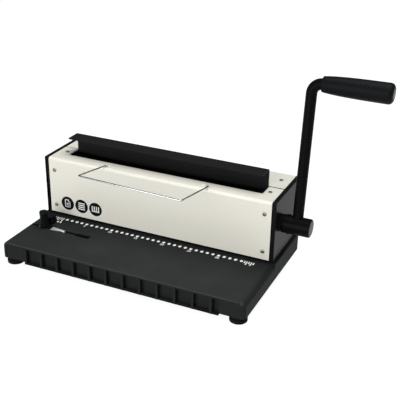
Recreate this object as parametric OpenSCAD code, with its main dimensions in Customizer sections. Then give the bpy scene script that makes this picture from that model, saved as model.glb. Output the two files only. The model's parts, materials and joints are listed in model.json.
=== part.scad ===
// Desk punch and wire binding machine. Millimetres, X to the lever side, Y to the back, Z up.
// The origin is on the desk, under the middle of the base.

/* [Base] */
// Depth of the open deck in front of the front cover
deck_front = 110; // [90:1:140]
// Height of the base skirt, from its lower edge to the deck
skirt_h = 24.5; // [24:0.5:34]
// Thickness of the deck
deck_t = 3.5; // [3:0.1:4.5]
// Thickness of the base walls
base_wall = 3.5; // [2.5:0.1:5]
// Radius of the upright corners of the base
base_corner_r = 4; // [4:0.5:12]
// Radius of the shoulders in front of the side plates
base_shoulder_r = 8.5; // [3:0.5:9]
// Height of the rubber feet
foot_h = 9; // [7:0.5:14]
// Diameter of the rubber feet
foot_d = 24; // [20:0.5:26]
// Distance from the front and back of the base to the middle of a foot
foot_inset = 12; // [11:0.5:16]
// Distance from the ends of the base to the middle of a front foot
foot_side = 13; // [11:0.5:16]
// How much further in the rear feet stand than the front ones
rear_foot_step = 12; // [0:0.5:16]
// Diameter of the foot screws
foot_screw_d = 4; // [3:0.5:5]

/* [Body] */
// Depth of the body, from the front cover to the back of the base
body_d = 102; // [92:1:130]
// Room between a rack's outer face and the side plate
side_room = 21.3; // [20.8:0.1:40]
// Thickness of the side plates
plate_t = 6.2; // [5:0.1:8]
// Step from the base edge to a side plate
plate_inset = 3.6; // [0.5:0.1:5]
// Thickness of the cover sheets
cover_t = 1.5; // [1:0.1:2]
// Outer bend radius of the covers
cover_bend_r = 4; // [3:0.5:8]
// Distance from the front cover's face to the top opening
cut_front = 22; // [18:0.5:24]
// Thickness of the brackets behind the covers
bracket_t = 3; // [2:0.1:4]
// Diameter of the cover screws
cover_screw_d = 3; // [2.5:0.1:4]

/* [Punch] */
// Number of punch pins
holes = 34; // [23:1:40]
// Spacing of the punch pins
hole_pitch = 8.467; // [8:0.001:9.525]
// Width of a square punch pin
pin_w = 4; // [3:0.1:4.5]
// Distance from the front cover's face to the pin row
pin_setback = 10; // [9.5:0.1:11]
// Height of the paper throat
throat_h = 3.1; // [3:0.1:6]
// Thickness of the die plate
die_t = 6; // [5.9:0.1:7]
// Height of the block that guides the pins
guide_h = 14; // [13:0.5:18]
// Thickness of the plate that holds the pins
pin_plate_t = 4; // [3:0.1:6]
// Height of the press beam
beam_h = 14; // [13:0.5:18]
// Depth of the press beam
beam_d = 10; // [9.6:0.1:10.5]
// How far the pins enter the die at full stroke
pin_entry = 5.6; // [4:0.1:5.8]
// Diameter of the guide posts
post_d = 6; // [5:0.1:6.5]
// Wire diameter of the return springs
spring_wire = 1.2; // [0.8:0.1:1.3]
// Turns of a return spring
spring_turns = 7; // [5:1:7]

/* [Drive] */
// Height of the main shaft above the deck
shaft_up = 50; // [47:0.5:58]
// Distance from the front cover's face to the main shaft
shaft_back = 28; // [27:0.5:30]
// Diameter of the main shaft
shaft_d = 14; // [12:0.5:15]
// Tooth module of the racks and pinions
tooth_module = 1.5; // [1.4:0.05:1.6]
// Teeth on a pinion
teeth = 15; // [14:1:16]
// Turn of the lever, degrees
lever_turn = 95; // [80:1:100]
// Width of a rack
rack_w = 10; // [8:0.5:12]

/* [Hood and jaw] */
// Width of the closing hood
hood_w = 304.6; // [300:0.1:305]
// Height of the hood above the covers
hood_rise = 26.5; // [24:0.1:40]
// How far the hood's flange reaches forward
hood_reach = 24; // [20:0.5:26]
// Thickness of the hood plate
hood_t = 2; // [1.5:0.1:3]
// Outer bend radius of the hood
hood_bend_r = 3.5; // [3.2:0.1:6]
// Thickness of the lower jaw plate
jaw_t = 3; // [2:0.1:4]
// Thickness of the hood brackets
hood_bracket_t = 4; // [3.5:0.1:5]
// Height of the hood brackets
hood_bracket_h = 9; // [8:0.5:14]

/* [Lever] */
// Lean of the lever to the back at rest, degrees
lever_lean = 5.9; // [0:0.1:15]
// Diameter of the lever hub
hub_d = 25.6; // [24:0.1:34]
// Length of the lever hub
hub_len = 39.6; // [36:0.1:50]
// Distance from the hub's inner face to the lever rod
rod_offset = 20; // [19.5:0.1:22]
// Diameter of the lever rod
rod_d = 14.6; // [12:0.1:16]
// Height of the grip above the main shaft, along the rod
lever_len = 195; // [150:0.5:260]
// Bend radius of the lever rod
rod_bend_r = 13.5; // [9:0.5:25]
// Length of the grip
grip_len = 90; // [80:1:130]
// Radius of the grip at its thick end
grip_r = 13.5; // [12.5:0.1:17]
// How much thinner the grip is at its rod end
grip_taper = 3.3; // [2:0.1:5]

/* [Drawer] */
// Wall of the chip tray
tray_wall = 2.5; // [2:0.1:3]
// Width of the runners that carry the tray
runner_w = 3.2; // [2.5:0.1:5]
// Length of the chip tray behind its front
tray_len = 127; // [126:1:150]
// How far the drawer front hangs below the base
drawer_drop = 3; // [1:0.5:6]
// Depth of the ribs on the drawer front
rib_d = 6.5; // [3:0.5:8]
// Width of a rib
rib_w = 3.6; // [2:0.1:6]
// Number of ribs
ribs = 12; // [6:1:16]

/* [Side guide] */
// Distance from the front cover's face forward to the guide slot
slot_forward = 45.5; // [42:0.5:60]
// Width of the guide slot
slot_w = 5; // [4:0.1:6]
// Length of the guide slot
slot_len = 96; // [80:1:120]
// Width of the wider right end of the guide slot
keyhole_w = 8.4; // [6:0.1:10]
// Diameter of the guide knob
knob_d = 13; // [12:0.5:18]
// Height of the guide knob with its foot
knob_h = 25.6; // [18:0.1:35]
// Height of the fence
fence_h = 12; // [8:0.5:16]

/* [Bail] */
// Wire diameter of the bail
bail_d = 2.2; // [2:0.1:3.5]
// Width between the middles of the bail's legs at their pivots
bail_w = 161; // [120:1:200]
// How much narrower the bail is at its front
bail_taper = 7.4; // [0:0.1:12]
// Length of the bail's legs
bail_len = 79.6; // [50:0.1:100]
// Lift of the bail above level, degrees
bail_lift = 9.4; // [5:0.1:20]

/* [Fits] */
// Gap between pieces that are fixed to each other
fixed_fit = 0.05; // [0.02:0.01:0.1]
// Radial gap of a running fit
running_fit = 0.05; // [0.02:0.01:0.1]
// Side gap of sliding flat faces
slide_gap = 0.6; // [0.4:0.05:0.8]
// Flat gap round a punch pin
pin_gap = 0.1; // [0.05:0.01:0.15]
// Backlash of the teeth
backlash = 0.12; // [0.06:0.01:0.2]

/* [Hidden] */
$fn = 64;
over = 1;

// Gaps that keep moving pieces apart over their whole travel
rack_gap = 1.8;
hood_rack_gap = 1.2;
hood_side_gap = 0.7;
hood_rear_gap = 0.8;
hood_jaw_gap = 1.3;
jaw_pinion_gap = 0.75;
press_gap = 0.35;
bracket_shaft_gap = 2.85;
tray_gap = 0.5;
drawer_pin_gap = 0.8;
spacer_gap = 10.3;
seam_w = 1;

// Widths, from the punch row outwards
pin_half = (holes - 1) * hole_pitch / 2;
hood_half = hood_w / 2;
rack_out = max(pin_half + pin_w / 2 + rack_gap + rack_w, hood_half + hood_rack_gap);
rack_in = rack_out - rack_w;
plate_in = rack_out + side_room;
plate_out = plate_in + plate_t;
base_w = 2 * (plate_out + plate_inset);
base_d = deck_front + body_d;
cut_half = hood_half + hood_side_gap;
ear_half = rack_out + hood_bracket_t;
flange_in = ear_half + hood_side_gap;
pad_w = 14;
pad_out = plate_in - bracket_t - slide_gap;
pad_in = pad_out - pad_w;
post_x = pad_out - pad_w / 2;
spacer_in = pin_half + spacer_gap;

// Heights, from the desk up
deck_z = foot_h + skirt_h;
deck_under = deck_z - deck_t;
die_z = deck_z - die_t;
ledge_t = 3;
ledge_w = 3.5;
chip_edge = 1.5;
ledge_z = die_z - ledge_t;
guide_z = deck_z + throat_h;
guide_top = guide_z + guide_h;
pitch_r = tooth_module * teeth / 2;
stroke = pitch_r * lever_turn * PI / 180;
press_z = guide_top + press_gap + stroke;
beam_z = press_z + pin_plate_t;
beam_top = beam_z + beam_h;
shaft_z = deck_z + shaft_up;
rise_gap = 1.15;
shaft_clear_z = shaft_z + shaft_d / 2 + bracket_shaft_gap;
body_top = shaft_clear_z + stroke + hood_bracket_h + rise_gap + cover_t;
cover_under = body_top - cover_t;
hood_bracket_top = cover_under - rise_gap;
hood_bracket_z = hood_bracket_top - hood_bracket_h;

// Depths, from the front cover back
base_front = -base_d / 2;
base_back = base_d / 2;
body_front = base_back - body_d;
sheet_back = body_front + cover_t;
flange_back = sheet_back + bracket_t;
pin_y = body_front + pin_setback;
beam_front = pin_y - beam_d / 2;
beam_back = pin_y + beam_d / 2;
pad_back = beam_front + pad_w;
post_y = beam_front + pad_w / 2;
stop_setback = 3.5;
stop_front = pin_y + pin_w / 2 + stop_setback;
shaft_y = body_front + shaft_back;
addendum = tooth_module;
tip_r = pitch_r + addendum;
dedendum = 1.25 * tooth_module;
root_r = pitch_r - dedendum;
rack_line = shaft_y - pitch_r;
jaw_front = shaft_y + tip_r + jaw_pinion_gap;
jaw_back = jaw_front + jaw_t;
hood_front = jaw_back + hood_jaw_gap;
hood_back = hood_front + hood_t;
seam_back = hood_back + hood_rear_gap;
seam_front = seam_back - seam_w;
cut_y = body_front + cut_front;

// Screws: a head and a shank, both as diameters of one thread size
head_ratio = 1.9;
head_h_ratio = 0.7;

// Middles of the feet
foot_x = base_w / 2 - foot_side;
foot_y = base_d / 2 - foot_inset;
foot_boss_r = 9;

// Drawer bay
drawer_half = pin_half + pin_w / 2 + drawer_pin_gap + tray_wall + runner_w;
bay_half = drawer_half + slide_gap;
tray_half = drawer_half - runner_w;
tray_z = foot_h - drawer_drop;
tray_top = ledge_z - tray_gap;
runner_t = 2.5;
rail_t = 3;
rail_setback = 4;
drawer_face = base_front + rib_d;
tray_front = drawer_face + tray_wall;
tray_back = tray_front + tray_len;
rail_over = 8;
rail_back = tray_back + rail_over;

// Side guide
slot_y = body_front - slot_forward;
slot_edge = 8.6;
slot_left = slot_edge - base_w / 2;
slot_right = slot_left + slot_len;
keyhole_len = 22;
strip_step = 11;
strip_left = slot_left + strip_step;
strip_len = 43;
knob_step = 8.4;
knob_x = strip_left + knob_step;
guide_lift = 0.2;
nut_top = deck_under - guide_lift;
nut_t = 4.4;
nut_half = 8;
fence_foot_t = 2.3;
guide_screw_d = 3;

// Bail
bail_setback = 6.7;
bail_y = body_front + bail_setback;
bail_rise = 1.9;
bail_z = body_top + bail_rise;

base_color = [0.17, 0.17, 0.18];
plate_color = [0.12, 0.12, 0.12];
cover_color = [0.88, 0.86, 0.80];
steel_color = [0.62, 0.63, 0.65];
black_color = [0.07, 0.07, 0.07];
chrome_color = [0.85, 0.86, 0.88];

// A box between two corners
module block(low, high) {
    translate(low) cube(high - low);
}

// The same piece on both sides of the middle
module both_sides() {
    children();
    mirror([1, 0, 0]) children();
}

// A section drawn in Y and Z, extruded from x0 to x1
module along_x(x0, x1) {
    translate([x0, 0, 0]) rotate([90, 0, 90]) linear_extrude(x1 - x0) children();
}

// A cylinder along X from x0 to x1 at a place in Y and Z
module rod_x(d, x0, x1, y, z) {
    translate([x0, y, z]) rotate([0, 90, 0]) cylinder(d = d, h = x1 - x0);
}

// A screw whose head sits on z = 0 and whose shank points down
module screw(d, len, head = head_ratio) {
    translate([0, 0, -len]) cylinder(d = d, h = len);
    cylinder(d = d * head, h = d * head_h_ratio);
}

// A hole that fits the shank of a screw
module screw_hole(d, len) {
    translate([0, 0, -len - over]) cylinder(d = d + 2 * fixed_fit, h = len + 2 * over);
}

// A hole that stops just past the screw's tip
module blind_hole(d, len) {
    translate([0, 0, -len - fixed_fit]) cylinder(d = d + 2 * fixed_fit, h = len + fixed_fit + over);
}

// A hole for the shank with a recess that sinks the head
module sunk_hole(d, len) {
    screw_hole(d, len);
    cylinder(d = d * head_ratio + 4 * fixed_fit, h = d * head_h_ratio + over);
}

// A hole round the right guide post, from z0 to z1
module post_hole(z0, z1, r) {
    translate([post_x, post_y, z0 - over]) cylinder(r = r, h = z1 - z0 + 2 * over);
}

// Turns a screw so that its shank points along +Y, its head on y = 0
module into_y() {
    rotate([90, 0, 0]) children();
}

// Turns a screw so that its shank points along +X, its head on x = 0
module into_x() {
    rotate([0, -90, 0]) children();
}

// A corner block in two dimensions with one round corner at (0, h)
module corner_block(d, h, r) {
    square([d, h - r]);
    translate([r, 0]) square([d - r, h]);
    translate([r, h - r]) circle(r);
}

// An L of sheet: an upright at 0, a top that runs to d, and a bend of outer radius r
module bent_sheet(d, h, t, r) {
    difference() {
        corner_block(d, h, r);
        translate([t, -over]) corner_block(d + over, h - t + over, r - t);
    }
}

// The base outline, drawn in by a wall
module base_outline(inset) {
    r = max(base_corner_r - inset, 1);
    w = base_w - 2 * inset;
    d = base_d - 2 * inset;
    square([w - 2 * r, d], center = true);
    square([w, d - 2 * r], center = true);
    for (x = [-1, 1], y = [-1, 1])
        translate([x * (w / 2 - r), y * (d / 2 - r)]) circle(r);
}

// Children at the four feet
module at_feet() {
    for (x = [-1, 1]) {
        translate([x * foot_x, -foot_y, 0]) children();
        translate([x * (foot_x - rear_foot_step), foot_y, 0]) children();
    }
}

// Children at the side plates' screws, on the right
plate_foot_w = 14.8;
plate_foot_t = 4;
plate_foot_gap = 7;
plate_foot_front = pad_back + plate_foot_gap;
plate_foot_clear = 12;
plate_foot_back = base_back - foot_inset - plate_foot_clear;
plate_screw_inset = 7.8;
plate_screw_x = plate_in - plate_screw_inset;
plate_screw_d = 4;
plate_screw_edge = 8;
module at_plate_screws() {
    for (y = [plate_foot_front + plate_screw_edge, plate_foot_back - plate_screw_edge])
        translate([plate_screw_x, y, deck_under]) children();
}

// Children at the guide block's screws, on the right
block_screw_edge = 4.5;
guide_screw_x = spacer_in + block_screw_edge;
block_screw_d = 4;
boss_h = 7;
boss_r = 4.5;
block_screw_len = guide_h + throat_h + deck_t + boss_h - block_screw_d * head_h_ratio - over;
module at_block_screw() {
    head_h = block_screw_d * head_h_ratio;
    translate([guide_screw_x, post_y, guide_top - head_h]) children();
}

// Die plate and its screws
die_end = 5.3;
die_half = pin_half + pin_w / 2 + die_end;
die_margin = 2.5;
die_front = body_front + die_margin;
die_back = pad_back + die_margin;
die_screw_d = 4;
die_screw_len = die_t - die_screw_d * head_h_ratio + ledge_t;
die_screw_share = 0.7;
module at_die_screws() {
    y = (stop_front + pad_back) / 2;
    for (x = [-1, 0, 1])
        translate([x * pin_half * die_screw_share, y, deck_z - die_screw_d * head_h_ratio])
            children();
}

cheek_w = 6.7;
panel_recess = 1;
shoulder_gap = 0.5;
module shoulder_cut() {
    x = base_w / 2 - base_shoulder_r;
    z = deck_z - base_shoulder_r;
    long = body_front - shoulder_gap - base_front + over;
    difference() {
        block([x, base_front - over, z], [base_w / 2 + over, body_front - shoulder_gap, deck_z + over]);
        translate([x, base_front - 2 * over, z]) rotate([-90, 0, 0])
            cylinder(r = base_shoulder_r, h = long + 2 * over);
    }
}

module base_shell() {
    color(base_color) difference() {
        union() {
            difference() {
                translate([0, 0, foot_h]) linear_extrude(skirt_h) base_outline(0);
                translate([0, 0, foot_h - over]) linear_extrude(skirt_h - deck_t + over)
                    base_outline(base_wall);
            }
            at_feet() translate([0, 0, foot_h]) cylinder(r = foot_boss_r, h = skirt_h - deck_t);
            both_sides() {
                block([bay_half, base_front + over, foot_h],
                    [bay_half + base_wall, rail_back, deck_z - over]);
                block([tray_half + slide_gap, drawer_face + rail_setback, tray_top - runner_t - rail_t],
                    [bay_half + over, rail_back, tray_top - runner_t]);
                translate([guide_screw_x, post_y, deck_under - boss_h])
                    cylinder(r = boss_r, h = boss_h + over);
            }
            block([-die_half - ledge_t, die_front - ledge_t, ledge_z],
                [die_half + ledge_t, die_back + ledge_t, deck_z - over]);
        }
        block([-bay_half, base_front - over, foot_h - over], [bay_half, drawer_face + base_wall, deck_under]);
        block([-die_half - fixed_fit, die_front - fixed_fit, die_z],
            [die_half + fixed_fit, die_back + fixed_fit, deck_z + over]);
        block([-die_half + ledge_w, die_front + ledge_w, ledge_z - over],
            [die_half - ledge_w, stop_front - chip_edge, die_z + over]);
        block([slot_left, slot_y - slot_w / 2, deck_under - over],
            [slot_right, slot_y + slot_w / 2, deck_z + over]);
        block([slot_right - keyhole_len, slot_y - keyhole_w / 2, deck_under - over],
            [slot_right, slot_y + keyhole_w / 2, deck_z + over]);
        block([slot_left, slot_y - nut_half - slide_gap, nut_top - nut_t - slide_gap],
            [slot_right, slot_y + nut_half + slide_gap, deck_under]);
        both_sides() {
            shoulder_cut();
            block([bay_half - over, base_front - over, foot_h - over],
                [base_w / 2 - cheek_w, base_front + panel_recess, deck_under]);
        }
        at_feet() translate([0, 0, foot_h - over])
            cylinder(d = foot_screw_d + 2 * fixed_fit, h = foot_screw_len + foot_head_z - foot_h + 2 * over);
        both_sides() {
            post_hole(deck_under, deck_z, post_d / 2 + fixed_fit);
            at_plate_screws() translate([0, 0, -over])
                cylinder(d = plate_screw_d + 2 * fixed_fit, h = deck_t + 2 * over);
            at_block_screw() screw_hole(block_screw_d, block_screw_len);
        }
        at_die_screws() screw_hole(die_screw_d, die_screw_len);
    }
}

// Feet: the screw head sits in a recess under the foot
foot_head_z = 5;
foot_head_gap = 1;
foot_screw_len = skirt_h - deck_t - 4;
module rubber_feet() {
    color(black_color) at_feet() difference() {
        cylinder(d = foot_d, h = foot_h);
        translate([0, 0, -over])
            cylinder(d = foot_screw_d * head_ratio + foot_head_gap, h = foot_head_z + over);
        cylinder(d = foot_screw_d + 2 * fixed_fit, h = foot_h + over);
    }
}

module foot_screws() {
    color(steel_color) at_feet() translate([0, 0, foot_head_z]) mirror([0, 0, 1])
        screw(foot_screw_d, foot_screw_len);
}

// Side plates: an upright plate with a foot flange on the deck
bush_flange_t = 1;
bush_d = shaft_d + 4;
thread_in_plate = 4;
bracket_screw_d = 3;
bracket_screw_edge = 8;
bracket_screw_step = 6.5;
bracket_screw_rear = 17.4;
bracket_screw_front = [sheet_back + bracket_screw_step, hood_bracket_z - 1.5 * bracket_screw_edge];
bracket_screw_back = [seam_back + bracket_screw_rear, cover_under - bracket_screw_edge];
module at_bracket_screws() {
    for (at = [bracket_screw_front, bracket_screw_back])
        translate([plate_in - bracket_t, at[0], at[1]]) children();
}

jaw_screw_d = 4;
jaw_screw_setback = 12;
jaw_screw_low = 6;
jaw_screw_high = 9;
module at_jaw_screws() {
    for (z = [jaw_z + jaw_screw_low, jaw_shoulder - jaw_screw_high])
        translate([plate_in - jaw_t, jaw_front + jaw_screw_setback, z]) children();
}

module side_plate() {
    color(plate_color) difference() {
        union() {
            block([plate_in, body_front, deck_z], [plate_out, base_back, body_top]);
            block([plate_in - plate_foot_w, plate_foot_front, deck_z],
                [plate_in + over, plate_foot_back, deck_z + plate_foot_t]);
        }
        rod_x(bush_d + 2 * fixed_fit, plate_in - over, plate_out + over, shaft_y, shaft_z);
        at_plate_screws() cylinder(d = plate_screw_d + 2 * fixed_fit, h = deck_t + plate_foot_t + over);
        at_bracket_screws() into_x() screw_hole(bracket_screw_d, bracket_t + thread_in_plate);
        at_jaw_screws() into_x() screw_hole(jaw_screw_d, jaw_t + thread_in_plate);
    }
}

module right_side_plate() {
    side_plate();
}

module left_side_plate() {
    mirror([1, 0, 0]) side_plate();
}

module plate_screws() {
    color(steel_color) both_sides() at_plate_screws() mirror([0, 0, 1])
        screw(plate_screw_d, deck_t + plate_foot_t);
}

// Covers and their screws
cover_gap = 0.2;
cover_half = plate_in - cover_gap;
cover_bottom = guide_z + cover_gap;
screw_inset_front = 9.8;
screw_inset_top = 2.8;
screw_x_front = plate_in - screw_inset_front;
screw_x_top = flange_in + screw_inset_top;
screw_from_cut = 8;
screw_from_seam = 26;
screw_from_low = 11;
screw_from_high = 7;
screw_y_top = [cut_y + screw_from_cut, seam_back + screw_from_seam];
screw_z_front = [guide_z + screw_from_low, hood_bracket_z - screw_from_high];
module at_cover_screws() {
    for (z = screw_z_front)
        translate([screw_x_front, body_front, z]) into_y() children();
    for (y = screw_y_top)
        translate([screw_x_top, y, body_top]) children();
}

module front_cover() {
    color(cover_color) difference() {
        translate([0, body_front, cover_bottom]) along_x(-cover_half, cover_half)
            bent_sheet(seam_front - body_front, body_top - cover_bottom, cover_t, cover_bend_r);
        block([-cut_half, cut_y, cover_under - over], [cut_half, seam_front + over, body_top + over]);
        both_sides() at_cover_screws() screw_hole(cover_screw_d, cover_t);
        both_sides() translate([lug_rivet_x, bail_y, body_top]) screw_hole(lug_rivet_d, cover_t);
    }
}

module rear_cover() {
    color(cover_color) difference() {
        translate([0, base_back, deck_z + cover_gap]) mirror([0, 1, 0]) along_x(-cover_half, cover_half)
            bent_sheet(base_back - seam_back, body_top - deck_z - cover_gap, cover_t, cover_bend_r);
        both_sides() at_cover_screws() screw_hole(cover_screw_d, cover_t);
    }
}

module cover_screws() {
    color(black_color) both_sides() at_cover_screws() screw(cover_screw_d, cover_t + bracket_t);
}

// A bracket that carries both covers on a side plate
bracket_past_screw = 9;
bracket_reach = screw_from_seam + bracket_past_screw;
module cover_bracket() {
    front_low = guide_z + 4;
    web_w = 10.5;
    web_h = 14;
    top_front = cut_y - 2;
    top_back = seam_back + bracket_reach;
    color(steel_color) difference() {
        union() {
            block([flange_in, sheet_back, front_low], [plate_in, flange_back, hood_bracket_z]);
            block([flange_in, top_front, cover_under - bracket_t], [plate_in, top_back, cover_under]);
            block([plate_in - bracket_t, sheet_back, front_low],
                [plate_in, sheet_back + web_w, cover_under - cover_bend_r]);
            block([plate_in - bracket_t, sheet_back, cover_under - web_h],
                [plate_in, top_back, cover_under - cover_bend_r]);
            block([plate_in - bracket_t, top_front, cover_under - web_h], [plate_in, top_back, cover_under]);
        }
        at_cover_screws() screw_hole(cover_screw_d, cover_t + bracket_t);
        at_bracket_screws() into_x() screw_hole(bracket_screw_d, bracket_t);
    }
}

module right_cover_bracket() {
    cover_bracket();
}

module left_cover_bracket() {
    mirror([1, 0, 0]) cover_bracket();
}

module bracket_screws() {
    color(steel_color) both_sides() at_bracket_screws() into_x()
        screw(bracket_screw_d, bracket_t + thread_in_plate);
}

// Square holes for the row of pins, from z0 to z1
module pin_row(w, z0, z1) {
    for (i = [0 : holes - 1])
        translate([-pin_half + i * hole_pitch, pin_y, (z0 + z1) / 2]) cube([w, w, z1 - z0], center = true);
}

module die_plate() {
    color(steel_color) difference() {
        block([-die_half, die_front, die_z], [die_half, die_back, deck_z]);
        pin_row(pin_w + 2 * pin_gap, die_z - over, deck_z + over);
        at_die_screws() sunk_hole(die_screw_d, die_screw_len);
    }
}

module die_screws() {
    color(steel_color) at_die_screws() screw(die_screw_d, die_screw_len);
}

module throat_spacers() {
    color(steel_color) both_sides() difference() {
        block([spacer_in, beam_front, deck_z], [pad_out, pad_back, guide_z]);
        post_hole(deck_z, guide_z, post_d / 2 + fixed_fit);
        at_block_screw() screw_hole(block_screw_d, block_screw_len);
    }
}

module paper_stop() {
    color(steel_color) block([-spacer_in, stop_front, deck_z], [spacer_in, pad_back, guide_z]);
}

module guide_block() {
    color(steel_color) difference() {
        block([-pad_out, beam_front, guide_z], [pad_out, pad_back, guide_top]);
        pin_row(pin_w + 2 * pin_gap, guide_z - over, guide_top + over);
        both_sides() {
            post_hole(guide_z, guide_top, post_d / 2 + fixed_fit);
            at_block_screw() sunk_hole(block_screw_d, block_screw_len);
        }
    }
}

module guide_block_screws() {
    color(steel_color) both_sides() at_block_screw() screw(block_screw_d, block_screw_len);
}

post_over = 4;
module guide_posts() {
    color(steel_color) both_sides() translate([post_x, post_y, deck_under])
        cylinder(d = post_d, h = beam_top + post_over - deck_under);
}

// Lower jaw: a web between the side plates whose middle rises to a flange under the hood
jaw_sink = 2.15;
jaw_top = cover_under - jaw_sink;
jaw_flange_front = cut_y + 2;
jaw_drop = 23.5;
jaw_z = shaft_z - jaw_drop;
jaw_shoulder = hood_bracket_z - stroke - 2;
jaw_half = hood_half - 2.3;
jaw_tab = 20;
module lower_jaw() {
    color(black_color) difference() {
        union() {
            block([-plate_in, jaw_front, jaw_z], [plate_in, jaw_back, jaw_shoulder]);
            block([-jaw_half, jaw_front, jaw_shoulder - over], [jaw_half, jaw_back, jaw_top]);
            block([-jaw_half, jaw_flange_front, jaw_top - jaw_t], [jaw_half, jaw_back, jaw_top]);
            both_sides()
                block([plate_in - jaw_t, jaw_front, jaw_z],
                    [plate_in, jaw_front + jaw_tab, jaw_shoulder - 2]);
        }
        both_sides() at_jaw_screws() into_x() screw_hole(jaw_screw_d, jaw_t);
    }
}

module jaw_screws() {
    color(steel_color) both_sides() at_jaw_screws() into_x()
        screw(jaw_screw_d, jaw_t + thread_in_plate);
}

// Shaft bushes, flanged on the outside
bush_in = plate_in - 2;
module bush() {
    color([0.72, 0.58, 0.34]) difference() {
        union() {
            rod_x(bush_d, bush_in, plate_out + bush_flange_t, shaft_y, shaft_z);
            rod_x(bush_d + 6, plate_out, plate_out + bush_flange_t, shaft_y, shaft_z);
        }
        rod_x(shaft_d + 2 * running_fit, bush_in - over, plate_out + bush_flange_t + over, shaft_y, shaft_z);
    }
}

module right_bush() {
    bush();
}

module left_bush() {
    mirror([1, 0, 0]) bush();
}

// Lugs that carry the bail, riveted to the front cover, each with a stop under the leg
lug_rivet_d = 2.4;
lug_t = 3;
lug_gap = 4;
lug_out = bail_w / 2 - bail_d / 2 - lug_gap;
lug_r = bail_d;
lug_foot_w = 8;
lug_foot_half = 3;
lug_foot_t = 0.8;
lug_rivet_in = 5.4;
lug_rivet_x = lug_out - lug_rivet_in;
stop_gap = 0.3;
stop_w = 1.4;
module bail_lugs() {
    stop_front = bail_y - lug_foot_half;
    stop_rise = (bail_y - stop_front - stop_w) * tan(bail_lift);
    stop_top = bail_z + stop_rise - bail_d / 2 / cos(bail_lift) - stop_gap;
    color(cover_color) both_sides() difference() {
        union() {
            block([lug_out - lug_foot_w, bail_y - lug_foot_half, body_top],
                [lug_out, bail_y + lug_foot_half, body_top + lug_foot_t]);
            block([lug_out - lug_t, bail_y - lug_r, body_top], [lug_out, bail_y + lug_r, bail_z]);
            along_x(lug_out - lug_t, lug_out) translate([bail_y, bail_z]) intersection() {
                circle(lug_r);
                translate([-lug_r, 0]) square(2 * lug_r);
            }
            block([lug_out - over, stop_front, body_top],
                [bail_w / 2 + bail_d / 2, stop_front + stop_w, stop_top]);
            translate([lug_rivet_x, bail_y, cover_under])
                cylinder(d = lug_rivet_d, h = cover_t + lug_foot_t / 2);
        }
        rod_x(bail_d + 2 * running_fit, lug_out - lug_t - over, lug_out + over, bail_y, bail_z);
    }
}

// Return springs round the guide posts
pocket_r = 5.2;
pocket_h = 7;
spring_r = (post_d / 2 + pocket_r) / 2;
spring_top = beam_z + pocket_h;
spring_sides = 6;
spring_steps = 8 * spring_turns;
spring_gap = 0.35;
spring_rise = spring_top - guide_top - spring_wire - spring_gap;
function coil_point(i, j) =
    let (turn = 360 * i * spring_turns / spring_steps, around = 360 * j / spring_sides,
        r = spring_r + spring_wire / 2 * cos(around))
    [r * cos(turn), r * sin(turn), spring_rise * i / spring_steps + spring_wire / 2 * sin(around)];
function coil_side(i, j) = i * spring_sides + j % spring_sides;
module coil() {
    points = [for (i = [0 : spring_steps], j = [0 : spring_sides - 1]) coil_point(i, j)];
    sides = [for (i = [0 : spring_steps - 1], j = [0 : spring_sides - 1])
        each [[coil_side(i, j), coil_side(i, j + 1), coil_side(i + 1, j)],
            [coil_side(i, j + 1), coil_side(i + 1, j + 1), coil_side(i + 1, j)]]];
    near_end = [for (j = [1 : spring_sides - 2]) [0, j + 1, j]];
    far_end = [for (j = [1 : spring_sides - 2])
        [coil_side(spring_steps, 0), coil_side(spring_steps, j), coil_side(spring_steps, j + 1)]];
    polyhedron(points, concat(sides, near_end, far_end));
}

module return_spring() {
    color(steel_color) translate([post_x, post_y, guide_top + spring_wire / 2 + fixed_fit]) coil();
}

module right_return_spring() {
    return_spring();
}

module left_return_spring() {
    mirror([1, 0, 0]) return_spring();
}

// Press: beam, pin plate and pins
pin_head = pin_w + 1.4;
pin_head_h = 2.5;
pin_bottom = deck_z - pin_entry + stroke;
rack_front = beam_front + 3.5;
rack_root = rack_line - dedendum;
module press_layer(z0, z1) {
    block([-pad_out, beam_front, z0], [pad_out, beam_back, z1]);
    both_sides() block([pad_in, beam_front, z0], [pad_out, pad_back, z1]);
}

// Children at the pin plate's screws: midway between pins, and outside the racks
pin_plate_screw_d = 2.2;
pin_plate_screw_edge = 2.5;
pin_plate_screw_len = pin_plate_t - pin_plate_screw_d * head_h_ratio + pin_head_h + 5;
module at_pin_plate_screws() {
    between = [for (share = [0.2, 0.5, 0.8]) -pin_half + (round(holes * share) - 0.5) * hole_pitch];
    outside = rack_out + pin_plate_screw_edge;
    for (x = concat(between, [-outside, outside]))
        translate([x, pin_y, press_z + pin_plate_screw_d * head_h_ratio]) mirror([0, 0, 1]) children();
}

// Children at the screws that hold a rack, on the right
rack_screw_d = 3;
rack_screw_edge = 3.5;
rack_screw_grip = 5;
rack_screw_len = rack_front - beam_front + rack_screw_grip;
module at_rack_screws() {
    for (z = [beam_z + rack_screw_edge, beam_top - rack_screw_edge])
        translate([(rack_in + rack_out) / 2, beam_front, z]) into_y() children();
}

module rack_notch() {
    both_sides()
        block([rack_in - fixed_fit, rack_front - fixed_fit, press_z - over],
            [rack_out + fixed_fit, shaft_y, beam_top + over]);
}

module press_beam() {
    groove_x = pin_half + pin_head / 2 + 0.5;
    groove_y = pin_head / 2 + 0.2;
    color(steel_color) difference() {
        press_layer(beam_z, beam_top);
        block([-groove_x, pin_y - groove_y, beam_z - over],
            [groove_x, pin_y + groove_y, beam_z + pin_head_h]);
        rack_notch();
        both_sides() {
            post_hole(beam_z - over, beam_z + pocket_h - over, pocket_r);
            post_hole(beam_z, beam_top, post_d / 2 + running_fit);
            at_rack_screws() screw_hole(rack_screw_d, rack_screw_len);
        }
        at_pin_plate_screws() screw_hole(pin_plate_screw_d, pin_plate_screw_len);
    }
}

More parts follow.
